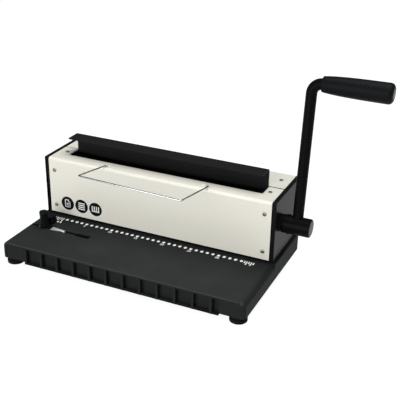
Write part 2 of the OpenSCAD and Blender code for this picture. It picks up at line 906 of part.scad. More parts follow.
module pin_plate() {
    color(steel_color) difference() {
        press_layer(press_z, beam_z);
        pin_row(pin_w + 2 * fixed_fit, press_z - over, beam_z + over);
        rack_notch();
        both_sides() post_hole(press_z, beam_z, pocket_r);
        at_pin_plate_screws() sunk_hole(pin_plate_screw_d, pin_plate_screw_len);
    }
}

module pin_plate_screws() {
    color(steel_color) at_pin_plate_screws() screw(pin_plate_screw_d, pin_plate_screw_len);
}

module punch_pins() {
    color(steel_color) {
        pin_row(pin_w, pin_bottom, beam_z);
        pin_row(pin_head, beam_z, beam_z + pin_head_h);
    }
}

// Racks: straight flanked teeth towards the pinion
pressure_angle = 20;
tooth_pitch = PI * tooth_module;
rack_addendum = 0.85 * tooth_module;
contact_half = sqrt(tip_r * tip_r - (pitch_r - rack_addendum) * (pitch_r - rack_addendum));
module rack_tooth() {
    half = tooth_pitch / 4 - backlash / 4;
    tip = half - rack_addendum * tan(pressure_angle);
    root = half + (rack_line - rack_root) * tan(pressure_angle);
    polygon([[rack_root - over, -root], [rack_root, -root], [rack_line + rack_addendum, -tip],
        [rack_line + rack_addendum, tip], [rack_root, root], [rack_root - over, root]]);
}

module rack() {
    below = floor((shaft_z - press_z) / tooth_pitch - 0.5);
    above = ceil((stroke + contact_half) / tooth_pitch);
    color(steel_color) difference() {
        union() {
            block([rack_in, rack_front, press_z], [rack_out, rack_root, hood_bracket_top]);
            along_x(rack_in, rack_out) for (i = [-below : above])
                translate([0, shaft_z + i * tooth_pitch]) rack_tooth();
        }
        at_rack_screws() screw_hole(rack_screw_d, rack_screw_len);
        at_bracket_to_rack() screw_hole(hood_screw_d, bracket_to_rack_len);
    }
}

module right_rack() {
    rack();
}

module left_rack() {
    mirror([1, 0, 0]) rack();
}

module rack_screws() {
    color(steel_color) both_sides() at_rack_screws() screw(rack_screw_d, rack_screw_len);
}

// Hood brackets: a bar from each rack, over the main shaft, to a tab behind which the hood sits
hood_screw_d = 3;
bracket_to_rack_len = hood_bracket_t - hood_screw_d * head_h_ratio + 5;
hood_tab_in = hood_half - 1.7;
hood_tab_t = 4;
module at_bracket_to_rack() {
    translate([ear_half - hood_screw_d * head_h_ratio, (rack_front + rack_root) / 2,
        (hood_bracket_z + hood_bracket_top) / 2]) rotate([0, 90, 0]) children();
}

hood_screw_len = hood_t + hood_tab_t;
hood_screw_edge = 3.45;
module at_hood_screws() {
    translate([ear_half - hood_screw_edge, hood_back, (hood_bracket_z + hood_bracket_top) / 2])
        rotate([-90, 0, 0]) children();
}

module hood_bracket() {
    color(black_color) difference() {
        union() {
            block([rack_out, rack_front, hood_bracket_z], [ear_half, hood_front, hood_bracket_top]);
            block([hood_tab_in, hood_front - hood_tab_t, hood_bracket_z],
                [ear_half, hood_front, hood_bracket_top]);
        }
        at_bracket_to_rack() sunk_hole(hood_screw_d, bracket_to_rack_len);
        at_hood_screws() screw_hole(hood_screw_d, hood_screw_len);
    }
}

module right_hood_bracket() {
    hood_bracket();
}

module left_hood_bracket() {
    mirror([1, 0, 0]) hood_bracket();
}

module hood_bracket_screws() {
    color(steel_color) both_sides() at_bracket_to_rack() screw(hood_screw_d, bracket_to_rack_len);
}

module hood() {
    hood_low = hood_bracket_z - 4;
    hood_top = body_top + hood_rise;
    color(black_color) difference() {
        union() {
            translate([0, hood_back, hood_low]) mirror([0, 1, 0]) along_x(-hood_half, hood_half)
                bent_sheet(hood_t + hood_reach, hood_top - hood_low, hood_t, hood_bend_r);
            block([-ear_half, hood_front, hood_low], [ear_half, hood_back, hood_bracket_top]);
        }
        both_sides() at_hood_screws() screw_hole(hood_screw_d, hood_screw_len);
    }
}

module hood_screws() {
    color(steel_color) both_sides() at_hood_screws() screw(hood_screw_d, hood_screw_len);
}

// Main shaft with its pinions and rings
hub_gap = 0.4;
hub_in = plate_out + bush_flange_t + hub_gap;
hub_out = hub_in + hub_len;
shaft_end = hub_out - 5;
ring_t = 1.2;
ring_gap = 0.2;
ring_x = bush_in - ring_gap - ring_t;
groove_d = shaft_d - 1;
boss_len = 8;
pinion_side = 0.5;
boss_x = rack_in + pinion_side - boss_len;
pinion_pin_d = 3;
hub_pin_d = 5;
hub_pin_offset = 8.2;
hub_pin_x = hub_in + hub_pin_offset;
hub_pin_len = hub_d + 2.4;
module pinion_cross_hole(d, len) {
    translate([boss_x + boss_len / 2, shaft_y, shaft_z - len / 2]) cylinder(d = d, h = len);
}

// The lever's own frame: its rod points up, the shaft lies on X
module lever_frame() {
    translate([0, shaft_y, shaft_z]) rotate([-lever_lean, 0, 0]) children();
}

module main_shaft() {
    color(steel_color) difference() {
        rod_x(shaft_d, -plate_out - bush_flange_t, shaft_end, shaft_y, shaft_z);
        both_sides() {
            difference() {
                rod_x(shaft_d + over, ring_x - fixed_fit, ring_x + ring_t + fixed_fit, shaft_y, shaft_z);
                rod_x(groove_d, ring_x - over, ring_x + ring_t + over, shaft_y, shaft_z);
            }
            pinion_cross_hole(pinion_pin_d + 2 * fixed_fit, 2 * shaft_d);
        }
        lever_frame() translate([hub_pin_x, 0, -hub_d])
            cylinder(d = hub_pin_d + 2 * fixed_fit, h = 2 * hub_d);
    }
}

// Half the angle of a pinion tooth at radius r
base_r = pitch_r * cos(pressure_angle);
function involute(r) = sqrt(pow(r / base_r, 2) - 1) * 180 / PI - acos(base_r / r);
function half_tooth(r) =
    90 / teeth - backlash / 4 / pitch_r * 180 / PI + involute(pitch_r) - involute(max(r, base_r));
flank_steps = 6;
function polar(r, angle) = r * [cos(angle), sin(angle)];
module pinion_outline() {
    radii = concat([root_r], [for (i = [0 : flank_steps]) base_r + (tip_r - base_r) * i / flank_steps]);
    last = len(radii) - 1;
    points = [for (t = [0 : teeth - 1]) let (mid = 180 + 360 / teeth * (t + 0.5)) each concat(
        [for (i = [0 : last]) polar(radii[i], mid - half_tooth(radii[i]))],
        [for (i = [last : -1 : 0]) polar(radii[i], mid + half_tooth(radii[i]))])];
    polygon(points);
}

boss_gap = 0.5;
boss_d = 2 * (pitch_r - rack_addendum - boss_gap);
module pinion() {
    color(steel_color) difference() {
        union() {
            along_x(rack_in + pinion_side, rack_out - pinion_side)
                translate([shaft_y, shaft_z]) pinion_outline();
            rod_x(boss_d, boss_x, rack_in + over, shaft_y, shaft_z);
        }
        rod_x(shaft_d + 2 * fixed_fit, boss_x - over, rack_out + over, shaft_y, shaft_z);
        pinion_cross_hole(pinion_pin_d + 2 * fixed_fit, 2 * boss_d);
    }
}

module right_pinion() {
    pinion();
}

module left_pinion() {
    mirror([1, 0, 0]) pinion();
}

module pinion_pins() {
    color(steel_color) both_sides() pinion_cross_hole(pinion_pin_d, boss_d);
}

module shaft_rings() {
    color(steel_color) both_sides() difference() {
        rod_x(shaft_d + 5, ring_x, ring_x + ring_t, shaft_y, shaft_z);
        rod_x(groove_d + 2 * fixed_fit, ring_x - over, ring_x + ring_t + over, shaft_y, shaft_z);
    }
}

// Lever: hub, cross pin, bent rod and grip
rod_x_mid = hub_in + rod_offset;
module hub_cross_pin(d, len) {
    translate([hub_pin_x, 0, -len / 2]) cylinder(d = d, h = len);
}

module lever_hub() {
    color(black_color) lever_frame() difference() {
        rod_x(hub_d, hub_in, hub_out, 0, 0);
        rod_x(shaft_d + 2 * fixed_fit, hub_in - over, shaft_end + fixed_fit, 0, 0);
        translate([rod_x_mid, 0, 0]) cylinder(d = rod_d + 2 * fixed_fit, h = hub_d);
        hub_cross_pin(hub_pin_d + 2 * fixed_fit, 2 * hub_d);
    }
}

module hub_pin() {
    color(steel_color) lever_frame() hub_cross_pin(hub_pin_d, hub_pin_len);
}

grip_x = rod_x_mid + rod_bend_r;
grip_wall = 10;
rod_tip = grip_x + grip_len - grip_wall;
module lever_rod() {
    rod_low = shaft_d / 2 + 0.15;
    color(black_color) lever_frame() {
        translate([rod_x_mid, 0, rod_low]) cylinder(d = rod_d, h = lever_len - rod_bend_r - rod_low);
        translate([grip_x, 0, lever_len - rod_bend_r]) rotate([90, 0, 0]) rotate([0, 0, 90])
            rotate_extrude(angle = 90) translate([rod_bend_r, 0]) circle(d = rod_d);
        rod_x(rod_d, grip_x, rod_tip, 0, lever_len);
    }
}

grip_fade = 24;
grip_round = 6;
function grip_radius(s) = grip_r - grip_taper * exp(-s / grip_fade);
module lever_grip() {
    steps = 10;
    edge = 0.5;
    body_len = grip_len - grip_round;
    side = [for (i = [0 : steps]) let (s = edge + (body_len - edge) * i / steps) [grip_radius(s), s]];
    nose = [for (a = [15 : 15 : 90])
        [grip_radius(body_len) - grip_round * (1 - cos(a)), body_len + grip_round * sin(a)]];
    color(black_color) lever_frame() translate([grip_x, 0, lever_len]) rotate([0, 90, 0]) difference() {
        rotate_extrude() polygon(concat([[0, 0], [grip_radius(0) - edge, 0]], side, nose, [[0, grip_len]]));
        translate([0, 0, -over]) cylinder(d = rod_d + 2 * fixed_fit, h = rod_tip - grip_x + over + fixed_fit);
    }
}

// Chip drawer: a ribbed front and a tray that hangs on the runners
drawer_gap = 0.4;
drawer_top = deck_under - drawer_gap;
drawer_lip_t = 2;
drawer_screw_d = 3;
drawer_screw_share = 0.6;
drawer_screw_len = 2 * tray_wall - 1.2;
rib_left = 2.2;
rib_right = 10.7;
module at_drawer_screws() {
    for (x = [-1, 0, 1])
        translate([x * drawer_screw_share * drawer_half, tray_front + tray_wall, (tray_z + tray_top) / 2])
            rotate([-90, 0, 0]) children();
}

module drawer_front() {
    pitch = (2 * drawer_half - rib_left - rib_right) / (ribs - 1);
    color(base_color) difference() {
        union() {
            block([-drawer_half, drawer_face, tray_z], [drawer_half, tray_front, drawer_top]);
            block([-drawer_half, base_front + drawer_gap, tray_z],
                [drawer_half, tray_front, tray_z + drawer_lip_t]);
            for (i = [0 : ribs - 1]) {
                x = -drawer_half + rib_left + i * pitch;
                block([x - rib_w / 2, base_front, tray_z], [x + rib_w / 2, tray_front, drawer_top]);
            }
        }
        at_drawer_screws() blind_hole(drawer_screw_d, drawer_screw_len);
    }
}

module chip_tray() {
    color(base_color) difference() {
        union() {
            block([-tray_half, tray_front, tray_z], [tray_half, tray_back, tray_top]);
            both_sides()
                block([tray_half - over, tray_front, tray_top - runner_t],
                    [drawer_half, tray_back, tray_top]);
        }
        block([-tray_half + tray_wall, tray_front + tray_wall, tray_z + tray_wall],
            [tray_half - tray_wall, tray_back - tray_wall, tray_top + over]);
        at_drawer_screws() blind_hole(drawer_screw_d, drawer_screw_len);
    }
}

module drawer_screws() {
    color(steel_color) at_drawer_screws() screw(drawer_screw_d, drawer_screw_len);
}

// Side guide: a knob and a fence over the deck, a strip in the slot, a nut under the deck
fence_w = 6;
fence_reach = 21.5;
fence_gap = 0.4;
fence_back = slot_y + fence_reach;
strip_top = deck_z + guide_lift;
fence_foot_top = strip_top + fence_foot_t;
knob_top = deck_z + knob_h;
guide_screw_low = nut_top - nut_t + guide_screw_d * head_h_ratio;
thread_in_knob = 10;
guide_screw_len = fence_foot_top + thread_in_knob - guide_screw_low;
module at_guide_screw() {
    translate([knob_x, slot_y, guide_screw_low]) mirror([0, 0, 1]) children();
}

module guide_knob() {
    cap_h = 5;
    cap_step = 0.4;
    color(black_color) difference() {
        union() {
            translate([knob_x, slot_y, fence_foot_top])
                cylinder(d = knob_d - 2 * cap_step, h = knob_top - cap_h - fence_foot_top + over);
            translate([knob_x, slot_y, knob_top - cap_h]) cylinder(d = knob_d, h = cap_h);
        }
        at_guide_screw() screw_hole(guide_screw_d, guide_screw_len);
    }
}

module guide_fence() {
    fence_right = knob_x + knob_d / 2;
    color(base_color) difference() {
        union() {
            translate([knob_x, slot_y, strip_top]) cylinder(d = knob_d, h = fence_foot_t);
            block([fence_right - fence_w, slot_y, strip_top], [fence_right, fence_back, fence_foot_top]);
            block([fence_right - fence_w, slot_y + knob_d / 2 + fence_gap, strip_top],
                [fence_right, fence_back, deck_z + fence_h]);
        }
        at_guide_screw() screw_hole(guide_screw_d, guide_screw_len);
    }
}

pointer_t = 0.6;
pointer_w = 8.6;
pointer_tip = 2.2;
pointer_back = 4;
module guide_strip() {
    half = slot_w / 2 - slide_gap / 2;
    end = strip_left + strip_len;
    root = knob_x + knob_d / 2 + fence_gap;
    color(chrome_color) difference() {
        union() {
            block([strip_left, slot_y - half, nut_top], [end, slot_y + half, strip_top]);
            translate([0, slot_y, strip_top]) linear_extrude(pointer_t) polygon([
                [root, pointer_back - pointer_w], [root, pointer_back],
                [end, pointer_tip / 2], [end, -pointer_tip / 2]]);
        }
        at_guide_screw() screw_hole(guide_screw_d, guide_screw_len);
    }
}

module guide_nut() {
    color(steel_color) difference() {
        block([knob_x - nut_half, slot_y - nut_half, nut_top - nut_t],
            [knob_x + nut_half, slot_y + nut_half, nut_top]);
        at_guide_screw() sunk_hole(guide_screw_d, guide_screw_len);
    }
}

module guide_screw() {
    color(steel_color) at_guide_screw() screw(guide_screw_d, guide_screw_len);
}

// Wire bail: two legs, a front bar with round corners, and a pin at each end that turns in a lug
bail_pin = 7.9;
module wire_bail() {
    half = bail_w / 2;
    front_half = half - bail_taper / 2;
    splay = atan((half - front_half) / bail_len);
    color(chrome_color) translate([0, bail_y, bail_z]) rotate([-bail_lift, 0, 0]) {
        both_sides() {
            rod_x(bail_d, half - bail_pin, half, 0, 0);
            translate([half, 0, 0]) sphere(d = bail_d);
            translate([half, 0, 0]) rotate([90, 0, -splay]) cylinder(d = bail_d, h = bail_len / cos(splay));
            translate([front_half, -bail_len, 0]) sphere(d = bail_d);
        }
        rod_x(bail_d, -front_half, front_half, -bail_len, 0);
    }
}

base_shell();
rubber_feet();
foot_screws();
left_side_plate();
right_side_plate();
plate_screws();
front_cover();
rear_cover();
cover_screws();
left_cover_bracket();
right_cover_bracket();
bracket_screws();
die_plate();
die_screws();
throat_spacers();
paper_stop();
guide_block();
guide_block_screws();
guide_posts();
lower_jaw();
jaw_screws();
left_bush();
right_bush();
bail_lugs();
left_return_spring();
right_return_spring();
press_beam();
pin_plate();
pin_plate_screws();
punch_pins();
left_rack();
right_rack();
rack_screws();
left_hood_bracket();
right_hood_bracket();
hood_bracket_screws();
hood();
hood_screws();
main_shaft();
left_pinion();
right_pinion();
pinion_pins();
shaft_rings();
lever_hub();
hub_pin();
lever_rod();
lever_grip();
chip_tray();
drawer_front();
drawer_screws();
guide_knob();
guide_fence();
guide_strip();
guide_nut();
guide_screw();
wire_bail();
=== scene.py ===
"""Desk punch and wire binding machine: the looks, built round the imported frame."""
import json
import logging
import math
from dataclasses import dataclass
from enum import Enum
from typing import Callable, Sequence, Union

import bmesh
import bpy
from mathutils import Matrix, Quaternion, Vector


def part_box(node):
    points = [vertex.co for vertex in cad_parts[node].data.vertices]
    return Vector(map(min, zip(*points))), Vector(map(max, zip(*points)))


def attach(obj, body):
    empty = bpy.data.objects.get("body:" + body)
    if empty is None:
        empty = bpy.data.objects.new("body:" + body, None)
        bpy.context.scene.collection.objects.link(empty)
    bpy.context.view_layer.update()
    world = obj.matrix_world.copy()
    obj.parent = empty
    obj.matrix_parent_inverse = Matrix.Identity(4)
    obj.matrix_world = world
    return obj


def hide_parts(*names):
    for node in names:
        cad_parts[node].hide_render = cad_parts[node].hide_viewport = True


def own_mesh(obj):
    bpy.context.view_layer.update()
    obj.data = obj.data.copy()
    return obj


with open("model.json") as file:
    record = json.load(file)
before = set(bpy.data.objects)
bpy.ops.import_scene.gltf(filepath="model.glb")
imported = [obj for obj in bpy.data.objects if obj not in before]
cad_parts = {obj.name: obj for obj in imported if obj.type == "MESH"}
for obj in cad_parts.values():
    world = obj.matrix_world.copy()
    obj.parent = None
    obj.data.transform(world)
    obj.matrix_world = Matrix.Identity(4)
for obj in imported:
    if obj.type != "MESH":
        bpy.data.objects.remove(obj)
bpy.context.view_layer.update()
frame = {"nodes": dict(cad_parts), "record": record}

MM = 0.001
# How near to a line a vertex counts as on it, and how near two of them merge, in metres
NEAR = 1e-5
DOUBLE = 1e-6
LOG = logging.getLogger("binding_machine")

Triple = Sequence[float]
Tone = tuple[float, float, float]
Stroke = tuple[tuple[float, float], tuple[float, float]]
Value = Union[float, bpy.types.NodeSocket]
Colour = Union[Tone, bpy.types.NodeSocket]


class Body(Enum):
    """The bodies of the machine, by the names of the frame."""

    FRAME = "frame"
    PRESS = "press"
    LEVER = "lever"
    DRAWER = "drawer"
    GUIDE = "side_guide"
    BAIL = "bail"


class Element(Enum):
    """What a selection in edit mode is made of."""

    VERT = "VERT"
    EDGE = "EDGE"
    FACE = "FACE"


class Way(Enum):
    """The axis that a turned piece lies along."""

    X = (0.0, math.pi / 2, 0.0)
    FORWARD = (math.pi / 2, 0.0, 0.0)
    BACK = (-math.pi / 2, 0.0, 0.0)
    UP = (0.0, 0.0, 0.0)


class Work(Enum):
    """What a tool does to the piece it is set in."""

    CUT = "DIFFERENCE"
    WELD = "UNION"


class Picture(Enum):
    """The plain pictures on the badges, from left to right."""

    SHEET = 1
    STACK = 2
    COMB = 3


class Side(Enum):
    """Which edge of a bent sheet turns down."""

    FRONT = -1
    BACK = 1


class Bench:
    """The modelling bench: Blender's own operators, with sizes in millimetres."""

    @staticmethod
    def clear() -> None:
        """Leaves edit mode and deselects everything."""
        if bpy.context.object and bpy.context.object.mode != "OBJECT":
            bpy.ops.object.mode_set(mode="OBJECT")
        bpy.ops.object.select_all(action="DESELECT")

    @staticmethod
    def pick(piece: bpy.types.Object) -> None:
        """Makes one piece the selected and active one.

        Args:
            piece: the piece to pick.
        """
        Bench.clear()
        piece.select_set(True)
        bpy.context.view_layer.objects.active = piece

    @staticmethod
    def settle(piece: bpy.types.Object, name: str) -> bpy.types.Object:
        """Names a piece and moves its place into its mesh.

        Args:
            piece: the object that was just added.
            name: its name.

        Returns:
            The same object, at the origin.
        """
        Bench.pick(piece)
        bpy.ops.object.transform_apply(location=True, rotation=True, scale=True)
        piece.name = name
        piece.data.name = name
        return piece

    @staticmethod
    def box(name: str, low: Triple, high: Triple) -> bpy.types.Object:
        """Adds a block between two corners.

        Args:
            name: the block's name.
            low: its lowest corner.
            high: its highest corner.

        Returns:
            The block.
        """
        a, b = Vector(low) * MM, Vector(high) * MM
        Bench.clear()
        bpy.ops.mesh.primitive_cube_add(size=1, location=(a + b) / 2, scale=b - a)
        return Bench.settle(bpy.context.object, name)

    @staticmethod
    def drum(name: str, radius: float, length: float, middle: Triple,
             way: Way = Way.UP, sides: int = 48) -> bpy.types.Object:
        """Adds a cylinder.

        Args:
            name: its name.
            radius: its radius.
            length: its length.
            middle: its middle.
            way: the axis it lies along.
            sides: how many sides it has.

        Returns:
            The cylinder.
        """
        Bench.clear()
        bpy.ops.mesh.primitive_cylinder_add(
            vertices=sides, radius=radius * MM, depth=length * MM,
            location=Vector(middle) * MM, rotation=way.value)
        return Bench.settle(bpy.context.object, name)

    @staticmethod
    def lathe(name: str, profile: Sequence[tuple[float, float]], place: Triple,
              way: Way = Way.UP, steps: int = 48) -> bpy.types.Object:
        """Turns a profile round an axis.

        Args:
            name: the piece's name.
            profile: radius and height of each point, from end to end.
            place: where the profile's own origin lies.
            way: the axis that the heights run along.
            steps: the sections of the turn.

        Returns:
            The turned piece, closed.
        """
        Bench.clear()
        bpy.ops.mesh.primitive_plane_add(size=MM)
        piece = bpy.context.object
        bpy.ops.object.mode_set(mode="EDIT")
        bpy.ops.mesh.select_mode(type="VERT")
        bpy.ops.mesh.select_all(action="SELECT")
        bpy.ops.mesh.merge(type="CENTER")
        here = Vector((0.0, 0.0, 0.0))
        for index, (radius, height) in enumerate(profile):
            there = Vector((radius, 0.0, height)) * MM
            if index == 0:
                bpy.ops.transform.translate(value=there - here)
            else:
                bpy.ops.mesh.extrude_region_move(
                    TRANSFORM_OT_translate={"value": there - here})
            here = there
        bpy.ops.mesh.select_all(action="SELECT")
        bpy.ops.mesh.spin(steps=steps, angle=math.tau, center=(0, 0, 0), axis=(0, 0, 1))
        Bench.clean(piece)
        piece.rotation_euler = way.value
        piece.location = Vector(place) * MM
        return Bench.settle(piece, name)

    @staticmethod
    def pipe(name: str, radius: float, points: Sequence[Triple], bends: Sequence[float],
             sides: int = 24) -> bpy.types.Object:
        """Lays a round bar through corner points and bends it at each corner.

        Args:
            name: the bar's name.
            radius: its radius.
            points: the first end, the corners and the last end.
            bends: the middle radius of the bend at each corner.
            sides: how many sides the bar has.

        Returns:
            The bar, closed at both ends.
        """
        spots = [Vector(point) * MM for point in points]
        ways = [(b - a).normalized() for a, b in zip(spots, spots[1:])]
        Bench.clear()
        bpy.ops.mesh.primitive_circle_add(
            vertices=sides, radius=radius * MM, fill_type="NGON", location=spots[0],
            rotation=ways[0].to_track_quat("Z", "Y").to_euler())
        piece = Bench.settle(bpy.context.object, name)
        bpy.ops.object.mode_set(mode="EDIT")
        bpy.ops.mesh.select_mode(type="FACE")
        bpy.ops.mesh.select_all(action="SELECT")
        here = spots[0]
        for spot, bend, before, after in zip(spots[1:], bends, ways, ways[1:]):
            angle = before.angle(after)
            reach = bend * MM * math.tan(angle / 2)
            start = spot - before * reach
            bpy.ops.mesh.extrude_region_move(TRANSFORM_OT_translate={"value": start - here})
            axis = before.cross(after).normalized()
            centre = start + axis.cross(before) * bend * MM
            bpy.ops.mesh.spin(steps=12, angle=-angle, center=centre, axis=axis)
            here = spot + after * reach
        bpy.ops.mesh.extrude_region_move(TRANSFORM_OT_translate={"value": spots[-1] - here})
        Bench.clean(piece)
        return piece

    @staticmethod
    def sheet(name: str, low: Triple, high: Triple, thickness: float, bend: float,
              side: Side) -> bpy.types.Object:
        """Bends an L of sheet: a top, and one upright at the front or the back.

        Args:
            name: the sheet's name.
            low: the lowest corner of the space that the L bounds.
            high: its highest corner.
            thickness: the sheet's thickness, inwards.
            bend: the outer radius of the bend.
            side: where the upright is.

        Returns:
            The sheet.
        """
        piece = Bench.box(name, low, high)
        y, z = (low[1] if side is Side.FRONT else high[1]) * MM, high[2] * MM
        Bench.select(piece, Element.EDGE, lambda e: all(
            abs(v.co.y - y) < NEAR and abs(v.co.z - z) < NEAR for v in e.verts))
        bpy.ops.mesh.bevel(offset=bend * MM, segments=8, affect="EDGES")
        Bench.select(piece, Element.FACE, lambda f: abs(f.normal.x) > 0.9 or
                     f.normal.z < -0.9 or f.normal.y * side.value < -0.9)
        bpy.ops.mesh.delete(type="FACE")
        Bench.modify(piece, "SOLIDIFY", thickness=thickness * MM, offset=-1.0,
                     use_even_offset=True)
        return piece

    @staticmethod
    def clean(piece: bpy.types.Object) -> None:
        """Merges doubles and turns all faces of a piece outwards.

        Args:
            piece: the piece to work on.
        """
        Bench.pick(piece)
        bpy.ops.object.mode_set(mode="EDIT")
        bpy.ops.mesh.select_all(action="SELECT")
        bpy.ops.mesh.remove_doubles(threshold=DOUBLE)
        bpy.ops.mesh.normals_make_consistent(inside=False)
        bpy.ops.object.mode_set(mode="OBJECT")

    @staticmethod
    def select(piece: bpy.types.Object, element: Element,
               test: Callable[[object], bool]) -> None:
        """Selects, in edit mode, the elements that pass a test.

        Args:
            piece: the piece to work on.
            element: vertices, edges or faces.
            test: says whether an element is wanted.
        """
        Bench.pick(piece)
        bpy.ops.object.mode_set(mode="EDIT")
        bpy.ops.mesh.select_mode(type=element.value)
        bpy.ops.mesh.select_all(action="DESELECT")
        mesh = bmesh.from_edit_mesh(piece.data)
        group = {Element.VERT: mesh.verts, Element.EDGE: mesh.edges,
                 Element.FACE: mesh.faces}[element]
        for part in [part for part in group if test(part)]:
            part.select_set(True)
        mesh.select_flush_mode()
        bmesh.update_edit_mesh(piece.data)

    @staticmethod
    def round_edges(piece: bpy.types.Object, test: Callable[[object], bool],
                    radius: float, segments: int = 4) -> None:
        """Bevels the edges that pass a test.

        Args:
            piece: the piece to work on.
            test: says whether an edge is wanted.
            radius: the bevel's width.
            segments: its sections.
        """
        Bench.select(piece, Element.EDGE, test)
        bpy.ops.mesh.bevel(offset=radius * MM, segments=segments, affect="EDGES")
        bpy.ops.object.mode_set(mode="OBJECT")

    @staticmethod
    def upright(edge: bmesh.types.BMEdge) -> bool:
        """Tells whether an edge runs up, by more than a hundredth of a metre."""
        return abs(edge.verts[0].co.z - edge.verts[1].co.z) > 0.01

    @staticmethod
    def stretch(piece: bpy.types.Object, factors: Triple, middle: Triple,
                test: Callable[[object], bool] = lambda v: True) -> None:
        """Scales the vertices that pass a test about a point.

        Args:
            piece: the piece to work on.
            factors: the scale along each axis.
            middle: the point that stays.
            test: says whether a vertex is wanted.
        """
        Bench.select(piece, Element.VERT, test)
        bpy.ops.transform.resize(value=factors, center_override=Vector(middle) * MM)
        bpy.ops.object.mode_set(mode="OBJECT")

    @staticmethod
    def modify(piece: bpy.types.Object, kind: str, **settings: object) -> None:
        """Adds a modifier with its settings and applies it.

        Args:
            piece: the piece to work on.
            kind: the modifier's type.
            settings: its values, by name.
        """
        Bench.pick(piece)
        made = piece.modifiers.new(kind.lower(), kind)
        for key, value in settings.items():
            setattr(made, key, value)
        bpy.ops.object.modifier_apply(modifier=made.name)

    @staticmethod
    def combine(piece: bpy.types.Object, tool: bpy.types.Object, how: Work) -> None:
        """Cuts a tool out of a piece, or welds it on, and takes the tool away.

        Args:
            piece: the piece that changes.
            tool: the solid that is used up.
            how: cuts or welds.
        """
        Bench.modify(piece, "BOOLEAN", object=tool, operation=how.value, solver="EXACT")
        Bench.discard(tool)

    @staticmethod
    def discard(piece: bpy.types.Object) -> None:
        """Takes away a piece that is used up, with its mesh.

        Args:
            piece: what goes.
        """
        mesh = piece.data
        bpy.data.objects.remove(piece)
        bpy.data.meshes.remove(mesh)

    @staticmethod
    def cut_box(piece: bpy.types.Object, low: Triple, high: Triple) -> None:
        """Cuts a block out of a piece."""
        Bench.combine(piece, Bench.box("cutter", low, high), Work.CUT)

    @staticmethod
    def weld_box(piece: bpy.types.Object, low: Triple, high: Triple) -> None:
        """Welds a block to a piece."""
        Bench.combine(piece, Bench.box("block", low, high), Work.WELD)

    @staticmethod
    def copy(piece: bpy.types.Object, move: Triple, way: Way = Way.UP) -> bpy.types.Object:
        """Copies a piece with its own mesh, turns the copy and moves it.

        Args:
            piece: what is copied.
            move: how far the copy moves.
            way: the axis that its upright lies along afterwards.

        Returns:
            The copy, at the origin.
        """
        Bench.pick(piece)
        bpy.ops.object.duplicate(linked=False)
        twin = bpy.context.object
        twin.rotation_euler = way.value
        twin.location = Vector(move) * MM
        return Bench.settle(twin, piece.name)

    @staticmethod
    def mirror(piece: bpy.types.Object, name: str) -> bpy.types.Object:
        """Copies a piece to the other side of the middle.

        Args:
            piece: what is copied.
            name: the copy's name.

        Returns:
            The copy, with its faces outwards.
        """
        Bench.pick(piece)
        bpy.ops.object.duplicate(linked=False)
        twin = bpy.context.object
        twin.scale = (-1.0, 1.0, 1.0)
        Bench.settle(twin, name)
        Bench.clean(twin)
        return twin

    @staticmethod
    def join(pieces: Sequence[bpy.types.Object], name: str) -> bpy.types.Object:
        """Joins pieces into one object.

        Args:
            pieces: what is joined.
            name: the name of the result.

        Returns:
            The joined object.
        """
        Bench.pick(pieces[0])
        for piece in pieces:
            piece.select_set(True)
        if len(pieces) > 1:
            bpy.ops.object.join()
        return Bench.settle(bpy.context.object, name)

    @staticmethod
    def soften(piece: bpy.types.Object, width: float, segments: int = 2,
               degrees: float = 35.0) -> None:
        """Breaks the sharp edges of a piece and shades it smooth.

        Args:
            piece: the piece to work on.
            width: the width of the broken edge.
            segments: its sections.
            degrees: the sharpest corner that is left alone.
        """
        if width > 0:
            Bench.modify(piece, "BEVEL", width=width * MM, segments=segments,
                         limit_method="ANGLE", angle_limit=math.radians(degrees),
                         harden_normals=False)
        Bench.pick(piece)
        bpy.ops.object.shade_smooth_by_angle(angle=math.radians(degrees))
        if width > 0:
            Bench.modify(piece, "WEIGHTED_NORMAL", keep_sharp=True)


class Effect(Enum):
    """The shader groups that the finishes share."""

    GRAIN = "surface_grain"
    DUST = "dust_film"
    BRUSHED = "brushed_lines"


